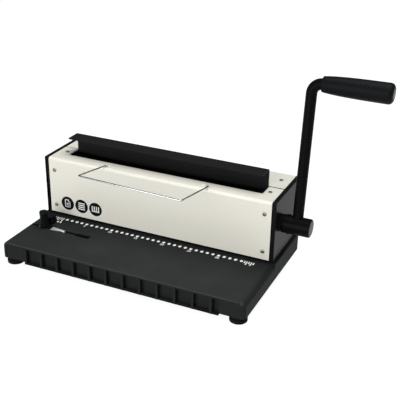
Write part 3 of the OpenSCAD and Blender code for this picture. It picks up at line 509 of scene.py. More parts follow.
class Effects:
    """Builds each shared shader group once.

    Attributes:
        FINE, BROAD: the shares of the fine grain and of the broad cloud in the tone.
        WIPE: where the film is gone and where it is whole, in metres along Y; the thinning
            towards the throat is wiping and also painted shade in front of the cover.
    """

    FINE, BROAD = 0.85, 0.15
    WIPE = (0.0, -0.075)

    def __init__(self) -> None:
        """Makes the three groups."""
        self.groups = {Effect.GRAIN: self.grain(), Effect.DUST: self.dust(),
                       Effect.BRUSHED: self.brushed()}

    @staticmethod
    def start(effect: Effect, inputs: dict[str, float], outputs: Sequence[str]
              ) -> tuple[bpy.types.NodeTree, bpy.types.Node, bpy.types.Node]:
        """Starts a group with a Vector input and plain number sockets.

        Args:
            effect: which group.
            inputs: the number inputs and their usual values.
            outputs: the names of the number outputs.

        Returns:
            The tree, its input node and its output node.
        """
        tree = bpy.data.node_groups.new(effect.value, "ShaderNodeTree")
        tree.interface.new_socket("Vector", in_out="INPUT", socket_type="NodeSocketVector")
        for name, value in inputs.items():
            socket = tree.interface.new_socket(
                name, in_out="INPUT", socket_type="NodeSocketFloat")
            socket.default_value = value
        for name in outputs:
            tree.interface.new_socket(name, in_out="OUTPUT", socket_type="NodeSocketFloat")
        return tree, tree.nodes.new("NodeGroupInput"), tree.nodes.new("NodeGroupOutput")

    @staticmethod
    def noise(tree: bpy.types.NodeTree, vector: bpy.types.NodeSocket, scale: Value,
              detail: float) -> bpy.types.NodeSocket:
        """Adds a noise texture.

        Args:
            tree: where it goes.
            vector: its coordinates.
            scale: a number, or the socket that gives it.
            detail: its octaves.

        Returns:
            The noise value.
        """
        made = tree.nodes.new("ShaderNodeTexNoise")
        made.inputs["Detail"].default_value = detail
        tree.links.new(vector, made.inputs["Vector"])
        if isinstance(scale, float):
            made.inputs["Scale"].default_value = scale
        else:
            tree.links.new(scale, made.inputs["Scale"])
        return made.outputs["Fac"]

    @staticmethod
    def maths(tree: bpy.types.NodeTree, how: str, a: Value, b: Value, clamp: bool = False
              ) -> bpy.types.NodeSocket:
        """Adds a maths node.

        Args:
            tree: where it goes.
            how: the operation.
            a: the first number or socket.
            b: the second number or socket.
            clamp: keeps the result between 0 and 1.

        Returns:
            The result.
        """
        made = tree.nodes.new("ShaderNodeMath")
        made.operation = how
        made.use_clamp = clamp
        for socket, value in zip(made.inputs, (a, b)):
            if isinstance(value, (int, float)):
                socket.default_value = value
            else:
                tree.links.new(value, socket)
        return made.outputs[0]

    @staticmethod
    def spread(tree: bpy.types.NodeTree, value: bpy.types.NodeSocket, low: float,
               high: float) -> bpy.types.NodeSocket:
        """Stretches the part of a value between two limits over 0 to 1.

        Args:
            tree: where it goes.
            value: the socket that gives the value.
            low: what becomes 0.
            high: what becomes 1.

        Returns:
            The stretched value.
        """
        made = tree.nodes.new("ShaderNodeMapRange")
        made.inputs["From Min"].default_value = low
        made.inputs["From Max"].default_value = high
        tree.links.new(value, made.inputs["Value"])
        return made.outputs["Result"]

    def grain(self) -> bpy.types.NodeTree:
        """Fine moulded or sprayed grain, with broad cloudy tone.

        Returns:
            The group.
        """
        tree, given, out = self.start(Effect.GRAIN, {"Scale": 900.0, "Cloud": 9.0},
                                      ("Height", "Tone"))
        fine = self.noise(tree, given.outputs["Vector"], given.outputs["Scale"], 3.0)
        cloud = self.noise(tree, given.outputs["Vector"], given.outputs["Cloud"], 4.0)
        mixed = self.maths(tree, "ADD", self.maths(tree, "MULTIPLY", fine, self.FINE),
                           self.maths(tree, "MULTIPLY", cloud, self.BROAD))
        tree.links.new(fine, out.inputs["Height"])
        tree.links.new(self.spread(tree, mixed, 0.3, 0.7), out.inputs["Tone"])
        return tree

    def dust(self) -> bpy.types.NodeTree:
        """A pale film on what faces up, which is dust and also painted top light; it thins
        towards the throat, which also paints the shade in front of the cover; and a painted
        highlight on edges that face up and to the front.

        Returns:
            The group.
        """
        tree, given, out = self.start(Effect.DUST, {"Scale": 24.0}, ("Mask", "EdgeHighlight"))
        shape = tree.nodes.new("ShaderNodeNewGeometry")
        parts = tree.nodes.new("ShaderNodeSeparateXYZ")
        tree.links.new(shape.outputs["Normal"], parts.inputs["Vector"])
        # Film only on what faces up: dust, and also painted top light that keeps the tops paler
        # than the fronts.
        up = self.spread(tree, parts.outputs["Z"], 0.5, 1.0)
        patch = self.spread(tree, self.noise(
            tree, given.outputs["Vector"], given.outputs["Scale"], 5.0), -0.2, 1.0)
        place = tree.nodes.new("ShaderNodeSeparateXYZ")
        tree.links.new(given.outputs["Vector"], place.inputs["Vector"])
        # Less film towards the throat: wiped off, and also painted shade on the deck in front of
        # the cover.
        wipe_and_shade_factor = self.spread(tree, place.outputs["Y"], *self.WIPE)
        film = self.maths(tree, "MULTIPLY", up, patch, clamp=True)
        tree.links.new(self.maths(tree, "MULTIPLY", film, wipe_and_shade_factor), out.inputs["Mask"])
        # Painted highlight: a mask that is strongest where the normal points both up and to the
        # front.
        front = self.maths(tree, "MULTIPLY", parts.outputs["Y"], -1.0)
        edge = self.maths(tree, "MULTIPLY", parts.outputs["Z"], front)
        tree.links.new(self.spread(tree, edge, 0.2, 0.5), out.inputs["EdgeHighlight"])
        return tree

    def brushed(self) -> bpy.types.NodeTree:
        """Fine lines along X, from grinding or drawing.

        Returns:
            The group.
        """
        tree, given, out = self.start(Effect.BRUSHED, {"Scale": 500.0}, ("Height", "Tone"))
        place = tree.nodes.new("ShaderNodeMapping")
        place.inputs["Scale"].default_value = (0.04, 1.0, 1.0)
        tree.links.new(given.outputs["Vector"], place.inputs["Vector"])
        lines = self.noise(tree, place.outputs["Vector"], given.outputs["Scale"], 4.0)
        tree.links.new(lines, out.inputs["Height"])
        tree.links.new(self.spread(tree, lines, 0.3, 0.7), out.inputs["Tone"])
        return tree


@dataclass(frozen=True)
class Finish:
    """One finish of the machine.

    Attributes:
        name: the material's name.
        slot: the record's slot that it belongs to.
        tone: its usual colour.
        shade: the darker colour that it drifts to.
        rough: the least and the most roughness.
        effect: the group that gives its grain.
        scale: the scale of that grain.
        relief: the depth of the grain, in millimetres.
        strength: how strongly the relief shows.
        metallic: 1 for bare metal.
        coat: the weight of a clear coat.
        level: the specular level.
        dust: how much pale film lies on top, which is dust and also painted top light.
        rub: how strongly the painted highlight shows on edges that face up and to the front.
    """

    name: str
    slot: str
    tone: Tone
    shade: Tone
    rough: tuple[float, float]
    effect: Effect = Effect.GRAIN
    scale: float = 900.0
    relief: float = 0.05
    strength: float = 0.3
    metallic: float = 0.0
    coat: float = 0.0
    level: float = 0.5
    dust: float = 0.0
    rub: float = 0.0


class Finishes:
    """Builds the finishes and keeps one material for each.

    Attributes:
        MIX_IN, MIX_OUT: the colour sockets of a Mix node, whose names repeat.
        COAT_ROUGH: the roughness of a clear coat.
        DUST_TONE, RUB_TONE: the colours of the film, which is dust and painted top light, and of
            the painted edge highlight.
    """

    MIX_IN, MIX_OUT = (6, 7), 2
    COAT_ROUGH = 0.2
    # Pale film colour: dust, and also painted top light.
    DUST_TONE: Tone = (0.275, 0.305, 0.30)
    # Painted highlight colour for the edges that face up and to the front.
    RUB_TONE: Tone = (0.045, 0.049, 0.048)
    CHARCOAL = Finish("charcoal_moulding", "base_plastic", (0.0175, 0.0195, 0.0192),
                      (0.0145, 0.0162, 0.0160), (0.48, 0.60), scale=1500.0, relief=0.05,
                      strength=0.2, level=0.03, dust=0.075, rub=0.8)
    RUBBER = Finish("foot_rubber", "foot_rubber", (0.0055, 0.0055, 0.006),
                    (0.0035, 0.0035, 0.0035), (0.6, 0.8), scale=700.0, relief=0.08, level=0.08)
    # Painted shade: a black strip laid in the cover seam to darken the gap.
    SEAL = Finish("seam_shade_black", "foot_rubber", (0.005, 0.005, 0.005),
                  (0.003, 0.003, 0.003), (0.6, 0.8), scale=700.0, relief=0.08, level=0.05)
    PLATE = Finish("black_powder_coat", "black_plate", (0.008, 0.0083, 0.0085),
                   (0.006, 0.0062, 0.0064), (0.26, 0.34), scale=1300.0, relief=0.03,
                   strength=0.1, level=0.035)
    CREAM = Finish("cream_powder_coat", "cream_paint", (0.80, 0.785, 0.70),
                   (0.77, 0.755, 0.665), (0.32, 0.42), scale=1100.0, relief=0.03,
                   strength=0.2, coat=0.15)
    STEEL = Finish("ground_steel", "machined_steel", (0.50, 0.51, 0.53),
                   (0.38, 0.39, 0.41), (0.28, 0.42), Effect.BRUSHED, 900.0, 0.02, 0.2, 1.0)
    FASTENER = Finish("plated_fastener", "fastener_steel", (0.25, 0.245, 0.235),
                      (0.18, 0.175, 0.17), (0.3, 0.42), scale=1600.0, relief=0.02,
                      strength=0.15, metallic=1.0)
    BRONZE = Finish("oiled_bronze", "bearing_bronze", (0.030, 0.027, 0.023),
                    (0.020, 0.018, 0.015), (0.4, 0.52), scale=2200.0, relief=0.03,
                    metallic=1.0)
    SPRING = Finish("oiled_spring_wire", "spring_steel", (0.30, 0.31, 0.32),
                    (0.18, 0.18, 0.19), (0.25, 0.4), scale=1400.0, relief=0.01,
                    metallic=1.0)
    SATIN = Finish("satin_black_coat", "black_steel", (0.0042, 0.0042, 0.0044),
                   (0.0032, 0.0032, 0.0034), (0.34, 0.44), scale=1200.0, relief=0.03,
                   strength=0.08, level=0.03)
    HOOD = Finish("hood_coat", "black_steel", (0.0135, 0.0135, 0.0138),
                  (0.0105, 0.0105, 0.0108), (0.38, 0.48), scale=1200.0, relief=0.03,
                  strength=0.08, level=0.05)
    FENCE = Finish("black_moulding", "base_plastic", (0.0052, 0.0056, 0.0058),
                   (0.0040, 0.0043, 0.0045), (0.42, 0.55), scale=1100.0, relief=0.05,
                   strength=0.14, level=0.04)
    GRIP = Finish("moulded_grip", "grip_plastic", (0.0060, 0.0072, 0.0084),
                  (0.0045, 0.0054, 0.0063), (0.42, 0.55), scale=1100.0, relief=0.06,
                  strength=0.14, level=0.05)
    CAP = Finish("grip_cap", "grip_plastic", (0.030, 0.030, 0.031),
                 (0.022, 0.022, 0.023), (0.34, 0.44), scale=1100.0, relief=0.05,
                 strength=0.25)
    CHROME = Finish("bright_chrome", "chrome_wire", (0.62, 0.62, 0.62),
                    (0.54, 0.54, 0.54), (0.12, 0.20), Effect.BRUSHED, 700.0, 0.006, 0.1, 1.0)
    NICKEL = Finish("satin_nickel", "chrome_wire", (0.92, 0.92, 0.90),
                    (0.84, 0.84, 0.82), (0.38, 0.50), Effect.BRUSHED, 700.0, 0.01, 0.15, 1.0)
    # Blackened steel, made near black so that it also paints the shade inside the throat.
    BLACKENED = Finish("blackened_steel_and_throat_shade", "machined_steel", (0.0045, 0.0045, 0.0045),
                       (0.0032, 0.0032, 0.0032), (0.5, 0.62), scale=900.0, relief=0.02,
                       strength=0.2, level=0.04)
    PRINT = Finish("white_print", "base_plastic", (0.92, 0.92, 0.91),
                   (0.86, 0.86, 0.85), (0.5, 0.62), scale=800.0, relief=0.01)
    BADGE = Finish("black_print", "cream_paint", (0.006, 0.006, 0.0065),
                   (0.004, 0.004, 0.0045), (0.34, 0.42), scale=900.0, relief=0.01, level=0.06)
    END = Finish("turned_end_face", "black_steel", (0.040, 0.040, 0.041),
                 (0.030, 0.030, 0.031), (0.36, 0.46), scale=900.0, relief=0.02, level=0.2)

    def __init__(self) -> None:
        """Builds the shared groups and starts with no materials."""
        self.effects = Effects()
        self.made: dict[str, bpy.types.Material] = {}

    def get(self, finish: Finish) -> bpy.types.Material:
        """Gives the material of a finish, and builds it the first time.

        Args:
            finish: the finish that is wanted.

        Returns:
            Its material.
        """
        if finish.name not in self.made:
            self.made[finish.name] = self.build(finish)
        return self.made[finish.name]

    def by_slot(self, slot: str) -> Finish:
        """Gives the main finish of a slot of the record.

        Args:
            slot: the slot's name.

        Returns:
            The finish.
        """
        main = (self.CHARCOAL, self.RUBBER, self.PLATE, self.CREAM, self.STEEL,
                self.FASTENER, self.BRONZE, self.SPRING, self.SATIN, self.GRIP, self.CHROME)
        return next(finish for finish in main if finish.slot == slot)

    @staticmethod
    def blend(tree: bpy.types.NodeTree, share: bpy.types.NodeSocket, a: Colour, b: Colour
              ) -> bpy.types.NodeSocket:
        """Mixes two colours.

        Args:
            tree: the material's tree.
            share: how much of the second colour shows.
            a: the first colour or its socket.
            b: the second colour or its socket.

        Returns:
            The mixed colour.
        """
        made = tree.nodes.new("ShaderNodeMix")
        made.data_type = "RGBA"
        tree.links.new(share, made.inputs["Factor"])
        for index, value in zip(Finishes.MIX_IN, (a, b)):
            if isinstance(value, tuple):
                made.inputs[index].default_value = (*value, 1.0)
            else:
                tree.links.new(value, made.inputs[index])
        return made.outputs[Finishes.MIX_OUT]

    def place(self, tree: bpy.types.NodeTree, effect: Effect,
              vector: bpy.types.NodeSocket, **values: float) -> bpy.types.Node:
        """Places a shared group with its own values.

        Args:
            tree: the material's tree.
            effect: which group.
            vector: its coordinates.
            values: its number inputs, by name.

        Returns:
            The group's node.
        """
        made = tree.nodes.new("ShaderNodeGroup")
        made.node_tree = self.effects.groups[effect]
        tree.links.new(vector, made.inputs["Vector"])
        for key, value in values.items():
            made.inputs[key].default_value = value
        return made

    def build(self, finish: Finish) -> bpy.types.Material:
        """Builds the material of a finish.

        Args:
            finish: its values.

        Returns:
            The material.
        """
        material = bpy.data.materials.new(finish.name)
        material.use_nodes = True
        tree = material.node_tree
        shader = tree.nodes["Principled BSDF"]
        shader.inputs["Metallic"].default_value = finish.metallic
        shader.inputs["Specular IOR Level"].default_value = finish.level
        shader.inputs["Coat Weight"].default_value = finish.coat
        shader.inputs["Coat Roughness"].default_value = self.COAT_ROUGH
        where = tree.nodes.new("ShaderNodeTexCoord").outputs["Object"]
        grain = self.place(tree, finish.effect, where, Scale=finish.scale)
        tone = grain.outputs["Tone"]
        colour = self.blend(tree, tone, finish.shade, finish.tone)
        # Pale film on top: dust, painted top light, and painted shade near the throat.
        if finish.dust > 0:
            film = self.place(tree, Effect.DUST, where)
            share = Effects.maths(tree, "MULTIPLY", film.outputs["Mask"], finish.dust)
            colour = self.blend(tree, share, colour, self.DUST_TONE)
            # Painted highlight on the edges that face up and to the front.
            share = Effects.maths(tree, "MULTIPLY", film.outputs["EdgeHighlight"], finish.rub)
            colour = self.blend(tree, share, colour, self.RUB_TONE)
        tree.links.new(colour, shader.inputs["Base Color"])
        rough = tree.nodes.new("ShaderNodeMapRange")
        rough.inputs["To Min"].default_value = finish.rough[1]
        rough.inputs["To Max"].default_value = finish.rough[0]
        tree.links.new(tone, rough.inputs["Value"])
        tree.links.new(rough.outputs["Result"], shader.inputs["Roughness"])
        bump = tree.nodes.new("ShaderNodeBump")
        bump.inputs["Strength"].default_value = finish.strength
        bump.inputs["Distance"].default_value = finish.relief * MM
        tree.links.new(grain.outputs["Height"], bump.inputs["Height"])
        tree.links.new(bump.outputs["Normal"], shader.inputs["Normal"])
        return material


class Workshop:
    """Dresses finished pieces and sets them on their bodies.

    Attributes:
        BLACKENED: the steel nodes inside the throat and under the covers, whose near-black finish
            also paints the shade there.
    """

    BLACKENED = ("left_cover_bracket", "right_cover_bracket", "guide_block", "throat_spacers",
                 "die_plate", "paper_stop")

    def __init__(self) -> None:
        """Opens the store of finishes."""
        self.finishes = Finishes()
        self.covered: set[str] = set()

    def deliver(self, piece: bpy.types.Object, body: Body, finish: Finish,
                replaces: Sequence[str] = ()) -> bpy.types.Object:
        """Dresses a piece, sets it on its body and reports it.

        Args:
            piece: the finished mesh, at the origin.
            body: what it moves with.
            finish: how it looks.
            replaces: the frame's nodes that it stands for.

        Returns:
            The piece.
        """
        piece.data.materials.clear()
        piece.data.materials.append(self.finishes.get(finish))
        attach(piece, body.value)
        if replaces:
            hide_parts(*replaces)
            self.covered.update(replaces)
        LOG.info("%s on %s, %d faces", piece.name, body.value, len(piece.data.polygons))
        return piece

    def dress_nodes(self) -> None:
        """Gives the frame's own nodes, where they show, the finish of their slot."""
        slots = {row["node"]: row["material_slot"] for row in frame["record"]["subparts"]}
        for name, node in frame["nodes"].items():
            if name in self.covered:
                continue
            finish = self.finishes.by_slot(slots[name])
            # Steel in the throat and under the covers: near black, which also paints the shade
            # there.
            if name in self.BLACKENED:
                finish = Finishes.BLACKENED
            node.data.materials.clear()
            node.data.materials.append(self.finishes.get(finish))
            LOG.info("%s keeps its shape, in %s", name, finish.name)


@dataclass
class Base:
    """The moulded base with its deck, feet and printed scale, in millimetres."""

    shop: Workshop
    half_x: float = 184.6
    half_y: float = 106.0
    low: float = 9.0
    top: float = 33.5
    deck: float = 3.5
    wall: float = 3.5
    corner: float = 4.0
    shoulder: float = 8.5
    shoulder_back: float = 3.5
    nose: float = 4.5
    cheek: float = 6.7
    recess: float = 1.0
    bay_half: float = 148.8
    bay_back: float = 38.0
    slot_y: float = -41.5
    slot_ends: tuple[float, float] = (-176.0, -80.0)
    slot_half: float = 2.5
    slot_floor: float = 1.2
    key_left: float = -102.0
    key_half: float = 4.2
    die: tuple[float, float, float] = (147.1, 6.45, 25.55)
    die_floor: float = 27.5
    die_rim: float = 3.0
    die_ledge: float = 3.5
    chip_back: float = 18.0
    slot_cut: tuple[float, float] = (20.0, 40.0)
    slot_corner: float = 0.9
    boss_r: float = 9.0
    boss_lap: float = 0.5
    front_edge: float = 2.2
    edge: float = 0.5
    panel_corner: float = 3.0
    foot_front: tuple[float, float] = (171.6, -94.0)
    foot_rear: tuple[float, float] = (159.6, 94.0)
    foot_r: float = 12.0
    foot_notch: float = 0.955
    marks: int = 34
    pitch: float = 8.467
    mark_y: float = -7.6
    left_ticks: tuple[float, ...] = (-163.0, -159.6, -156.2, -152.8, -149.4, -146.0)
    left_dashes: tuple[float, ...] = (-158.0, -153.4, -148.8, -144.2)
    dash_y: float = -18.5
    right_ticks: tuple[float, ...] = (144.6, 147.8, 151.0, 154.2, 157.4)
    ink: float = 0.08
    ink_lift: float = 0.02
    dot_r: float = 2.2
    dot_stretch: float = 1.2
    ticks_long: tuple[float, float] = (6.2, 9.6)
    tick_half: float = 0.8
    tick_back: float = 2.6
    dash_half: tuple[float, float] = (1.0, 2.2)
    number_step: int = 5
    number_size: float = 6.0
    number_drop: float = 8.0
    number_bold: float = 0.12

    def build(self) -> None:
        """Builds all pieces of the base."""
        self.moulding()
        self.feet()
        self.scale()

    def moulding(self) -> None:
        """Shapes the base: corners, shoulders, front panels, the bay, the slot and the hollow."""
        under = self.top - self.deck
        piece = Bench.box("base_moulding", (-self.half_x, -self.half_y, self.low),
                          (self.half_x, self.half_y, self.top))
        Bench.round_edges(piece, lambda e: Bench.upright(e) and e.verts[0].co.y > 0,
                          self.corner, 8)
        inner_x, inner_y = self.half_x - self.wall, self.half_y - self.wall
        for side in (-1, 1):
            Bench.combine(piece, self.shoulder_form(side), Work.CUT)
            Bench.combine(piece, self.corner_form(side), Work.CUT)
            ends = sorted((side * (self.bay_half + self.wall), side * inner_x))
            floor = self.low + (self.slot_floor if side < 0 else -1)
            Bench.cut_box(piece, (ends[0], -inner_y, floor), (ends[1], inner_y, under))
            Bench.combine(piece, self.panel_form(side, under), Work.CUT)
        Bench.cut_box(piece, (-self.bay_half, -self.half_y - 1, self.low - 1),
                      (self.bay_half, self.bay_back, under))
        Bench.cut_box(piece, (-self.bay_half, self.bay_back + self.wall, self.low - 1),
                      (self.bay_half, inner_y, under))
        die_half, die_front, die_back = self.die
        rim, ledge = self.die_rim, self.die_ledge
        Bench.weld_box(piece, (-die_half - rim, die_front - rim, self.die_floor - rim),
                       (die_half + rim, die_back + rim, self.top - 1))
        Bench.cut_box(piece, (-die_half, die_front, self.die_floor),
                      (die_half, die_back, self.top + 1))
        Bench.cut_box(piece, (-die_half + ledge, die_front + ledge, self.low),
                      (die_half - ledge, self.chip_back, self.top))
        for left, half in ((self.slot_ends[0], self.slot_half), (self.key_left, self.key_half)):
            slot = Bench.box("slot_form", (left, self.slot_y - half, self.slot_cut[0]),
                             (self.slot_ends[1], self.slot_y + half, self.slot_cut[1]))
            Bench.round_edges(slot, Bench.upright, self.slot_corner, 3)
            Bench.combine(piece, slot, Work.CUT)
        for x, y in self.feet_places():
            boss = Bench.drum("boss", self.boss_r, under - self.low + self.boss_lap,
                              (x, y, (under + self.low + self.boss_lap) / 2), sides=32)
            Bench.combine(piece, boss, Work.WELD)
        Bench.clean(piece)
        Bench.round_edges(piece, lambda e: all(
            v.co.z > self.top * MM - NEAR and v.co.y < NEAR - self.half_y * MM
            for v in e.verts), self.front_edge, 5)
        Bench.soften(piece, self.edge, 2, 40.0)
        self.shop.deliver(piece, Body.FRAME, Finishes.CHARCOAL, ["base_shell"])

    def shoulder_form(self, side: int) -> bpy.types.Object:
        """Makes what is cut away beside a shoulder that rounds off at the front.

        Args:
            side: -1 for the left, 1 for the right.

        Returns:
            The form to cut with.
        """
        x, z = side * (self.half_x - self.shoulder), self.top - self.shoulder
        ends = sorted((x, side * (self.half_x + 1)))
        form = Bench.box("shoulder_form", (ends[0], -self.half_y - 1, z),
                         (ends[1], self.shoulder_back, self.top + 1))
        turns = [step * math.pi / 32 for step in range(17)]
        back = self.half_y + self.shoulder_back + 2
        core = Bench.lathe("shoulder_core", [
            (self.shoulder * math.sin(turn), self.nose * (1 - math.cos(turn)))
            for turn in turns] + [(self.shoulder, back), (0.0, back)],
            (x, -self.half_y, z), Way.BACK, 64)
        Bench.combine(form, core, Work.CUT)
        return form

    def corner_form(self, side: int) -> bpy.types.Object:
        """Makes what is cut away round a front corner, below its shoulder.

        Args:
            side: -1 for the left, 1 for the right.

        Returns:
            The form to cut with.
        """
        x, y = side * (self.half_x - self.shoulder), self.nose - self.half_y
        z = self.top - self.shoulder
        ends = sorted((x, side * (self.half_x + 1)))
        form = Bench.box("corner_form", (ends[0], -self.half_y - 1, self.low - 1),
                         (ends[1], y, z))
        core = Bench.drum("corner_core", self.shoulder, 2 * self.top, (x, y, z), sides=64)
        Bench.stretch(core, (1.0, self.nose / self.shoulder, 1.0), (x, y, z))
        Bench.combine(form, core, Work.CUT)
        return form

    def panel_form(self, side: int, under: float) -> bpy.types.Object:
        """Makes the shallow recess of a corner's front panel.

        Args:
            side: -1 for the left, 1 for the right.
            under: the underside of the deck.

        Returns:
            The form to cut with.
        """
        outer = side * (self.half_x - self.cheek)
        ends = sorted((side * (self.bay_half - 1), outer))
        form = Bench.box("panel_form", (ends[0], -self.half_y - 1, self.low - 1),
                         (ends[1], self.recess - self.half_y, under))
        Bench.round_edges(form, lambda e: all(
            abs(v.co.x - outer * MM) < NEAR and abs(v.co.z - under * MM) < NEAR
            for v in e.verts), self.panel_corner, 6)
        return form

    def feet_places(self) -> list[tuple[float, float]]:
        """Gives the middle of each foot."""
        return [(side * x, y) for x, y in (self.foot_front, self.foot_rear) for side in (1, -1)]

    def feet(self) -> None:
        """Turns one rubber foot with a waist and a notched rim, and copies it."""
        x, y = self.foot_front
        r = self.foot_r
        profile = [(4.3, 5.0), (4.3, 0.6), (5.0, 0.0), (r - 0.6, 0.0), (r - 0.2, 0.15),
                   (r, 0.5), (r, 4.6), (r - 0.5, 5.3), (r - 1.7, 5.7), (r - 1.7, 6.4),
                   (r - 0.7, 6.8), (r - 0.7, 8.6), (r - 1.1, 9.0), (2.05, 9.0), (2.05, 5.0),
                   (4.3, 5.0)]
        first = Bench.lathe("foot", profile, (x, y, 0), steps=72)
        middle = Vector((x, y, 0)) * MM

        def notched(vert: bmesh.types.BMVert) -> bool:
            """Tells whether a rim vertex lies in a notch.

            Args:
                vert: a vertex of the foot.

            Returns:
                True in a notch.
            """
            arm = vert.co - middle
            turn = round(math.degrees(math.atan2(arm.y, arm.x)) / 5.0)
            return math.hypot(arm.x, arm.y) > (r - 0.1) * MM and turn % 3 == 0

        Bench.stretch(first, (self.foot_notch, self.foot_notch, 1.0), (x, y, 0), notched)
        feet = [first] + [Bench.copy(first, (at_x - x, at_y - y, 0))
                          for at_x, at_y in self.feet_places()[1:]]
        piece = Bench.join(feet, "rubber_foot_set")
        Bench.soften(piece, 0.0)
        self.shop.deliver(piece, Body.FRAME, Finishes.RUBBER, ["rubber_feet"])

    def scale(self) -> None:
        """Prints the row of hole marks, plain numbers at every fifth, end ticks and dashes."""
        z = self.top + self.ink_lift
        low, high = z - self.ink / 2, z + self.ink / 2
        left = -(self.marks - 1) * self.pitch / 2
        dot = Bench.drum("dot", self.dot_r, self.ink, (left, self.mark_y, z), sides=24)
        Bench.stretch(dot, (1.0, self.dot_stretch, 1.0), (left, self.mark_y, z))
        prints = [dot] + [Bench.copy(dot, (i * self.pitch, 0, 0))
                          for i in range(1, self.marks)]
        for count in range(self.number_step, self.marks, self.number_step):
            prints.append(self.number(str(count), left + (count - 1) * self.pitch, low))
        for index, x in enumerate(self.left_ticks + self.right_ticks):
            back = self.mark_y + self.tick_back
            prints.append(Bench.box(
                "tick", (x - self.tick_half, back - self.ticks_long[index % 2], low),
                (x + self.tick_half, back, high)))
        wide, deep = self.dash_half
        for x in self.left_dashes:
            prints.append(Bench.box("dash", (x - wide, self.dash_y - deep, low),
                                    (x + wide, self.dash_y + deep, high)))
        piece = Bench.join(prints, "printed_scale")
        Bench.soften(piece, 0.0)
        self.shop.deliver(piece, Body.FRAME, Finishes.PRINT)

    def number(self, text: str, x: float, z: float) -> bpy.types.Object:
        """Sets one number flat on the deck, under its mark.

        Args:
            text: the digits.
            x: the middle of the number.
            z: its underside.

        Returns:
            The number as a mesh.
        """
        Bench.clear()
        bpy.ops.object.text_add(
            location=(x * MM, (self.mark_y - self.number_drop) * MM, z * MM))
        word = bpy.context.object
        word.data.body = text
        word.data.size = self.number_size * MM
        word.data.extrude = self.ink / 2 * MM
        word.data.offset = self.number_bold * MM
        word.data.align_x = "CENTER"
        bpy.ops.object.convert(target="MESH")
        return Bench.settle(bpy.context.object, "number")


@dataclass
class Drawer:
    """The chip drawer's ribbed front, in millimetres."""

    shop: Workshop
    half: float = 148.2
    face: float = -99.5
    back: float = -97.0
    front: float = -106.0
    low: float = 6.0
    top: float = 29.6
    lip: float = 2.0
    lip_back: float = 0.4
    lap: float = 1.0
    edge: float = 0.6
    ribs: int = 12
    rib_w: float = 3.6
    rib_first: float = -146.0
    rib_last: float = 137.5

    def build(self) -> None:
        """Builds a panel, a bottom lip and the row of ribs, welded into one."""
        piece = Bench.box("drawer_ribbed_front", (-self.half, self.face, self.low),
                          (self.half, self.back, self.top))
        Bench.weld_box(piece, (-self.half, self.front + self.lip_back, self.low),
                       (self.half, self.face + self.lap, self.low + self.lip))
        pitch = (self.rib_last - self.rib_first) / (self.ribs - 1)
        for index in range(self.ribs):
            x = self.rib_first + index * pitch
            Bench.weld_box(piece, (x - self.rib_w / 2, self.front, self.low),
                           (x + self.rib_w / 2, self.face + self.lap, self.top))
        Bench.soften(piece, self.edge, 3)
        self.shop.deliver(piece, Body.DRAWER, Finishes.CHARCOAL, ["drawer_front"])


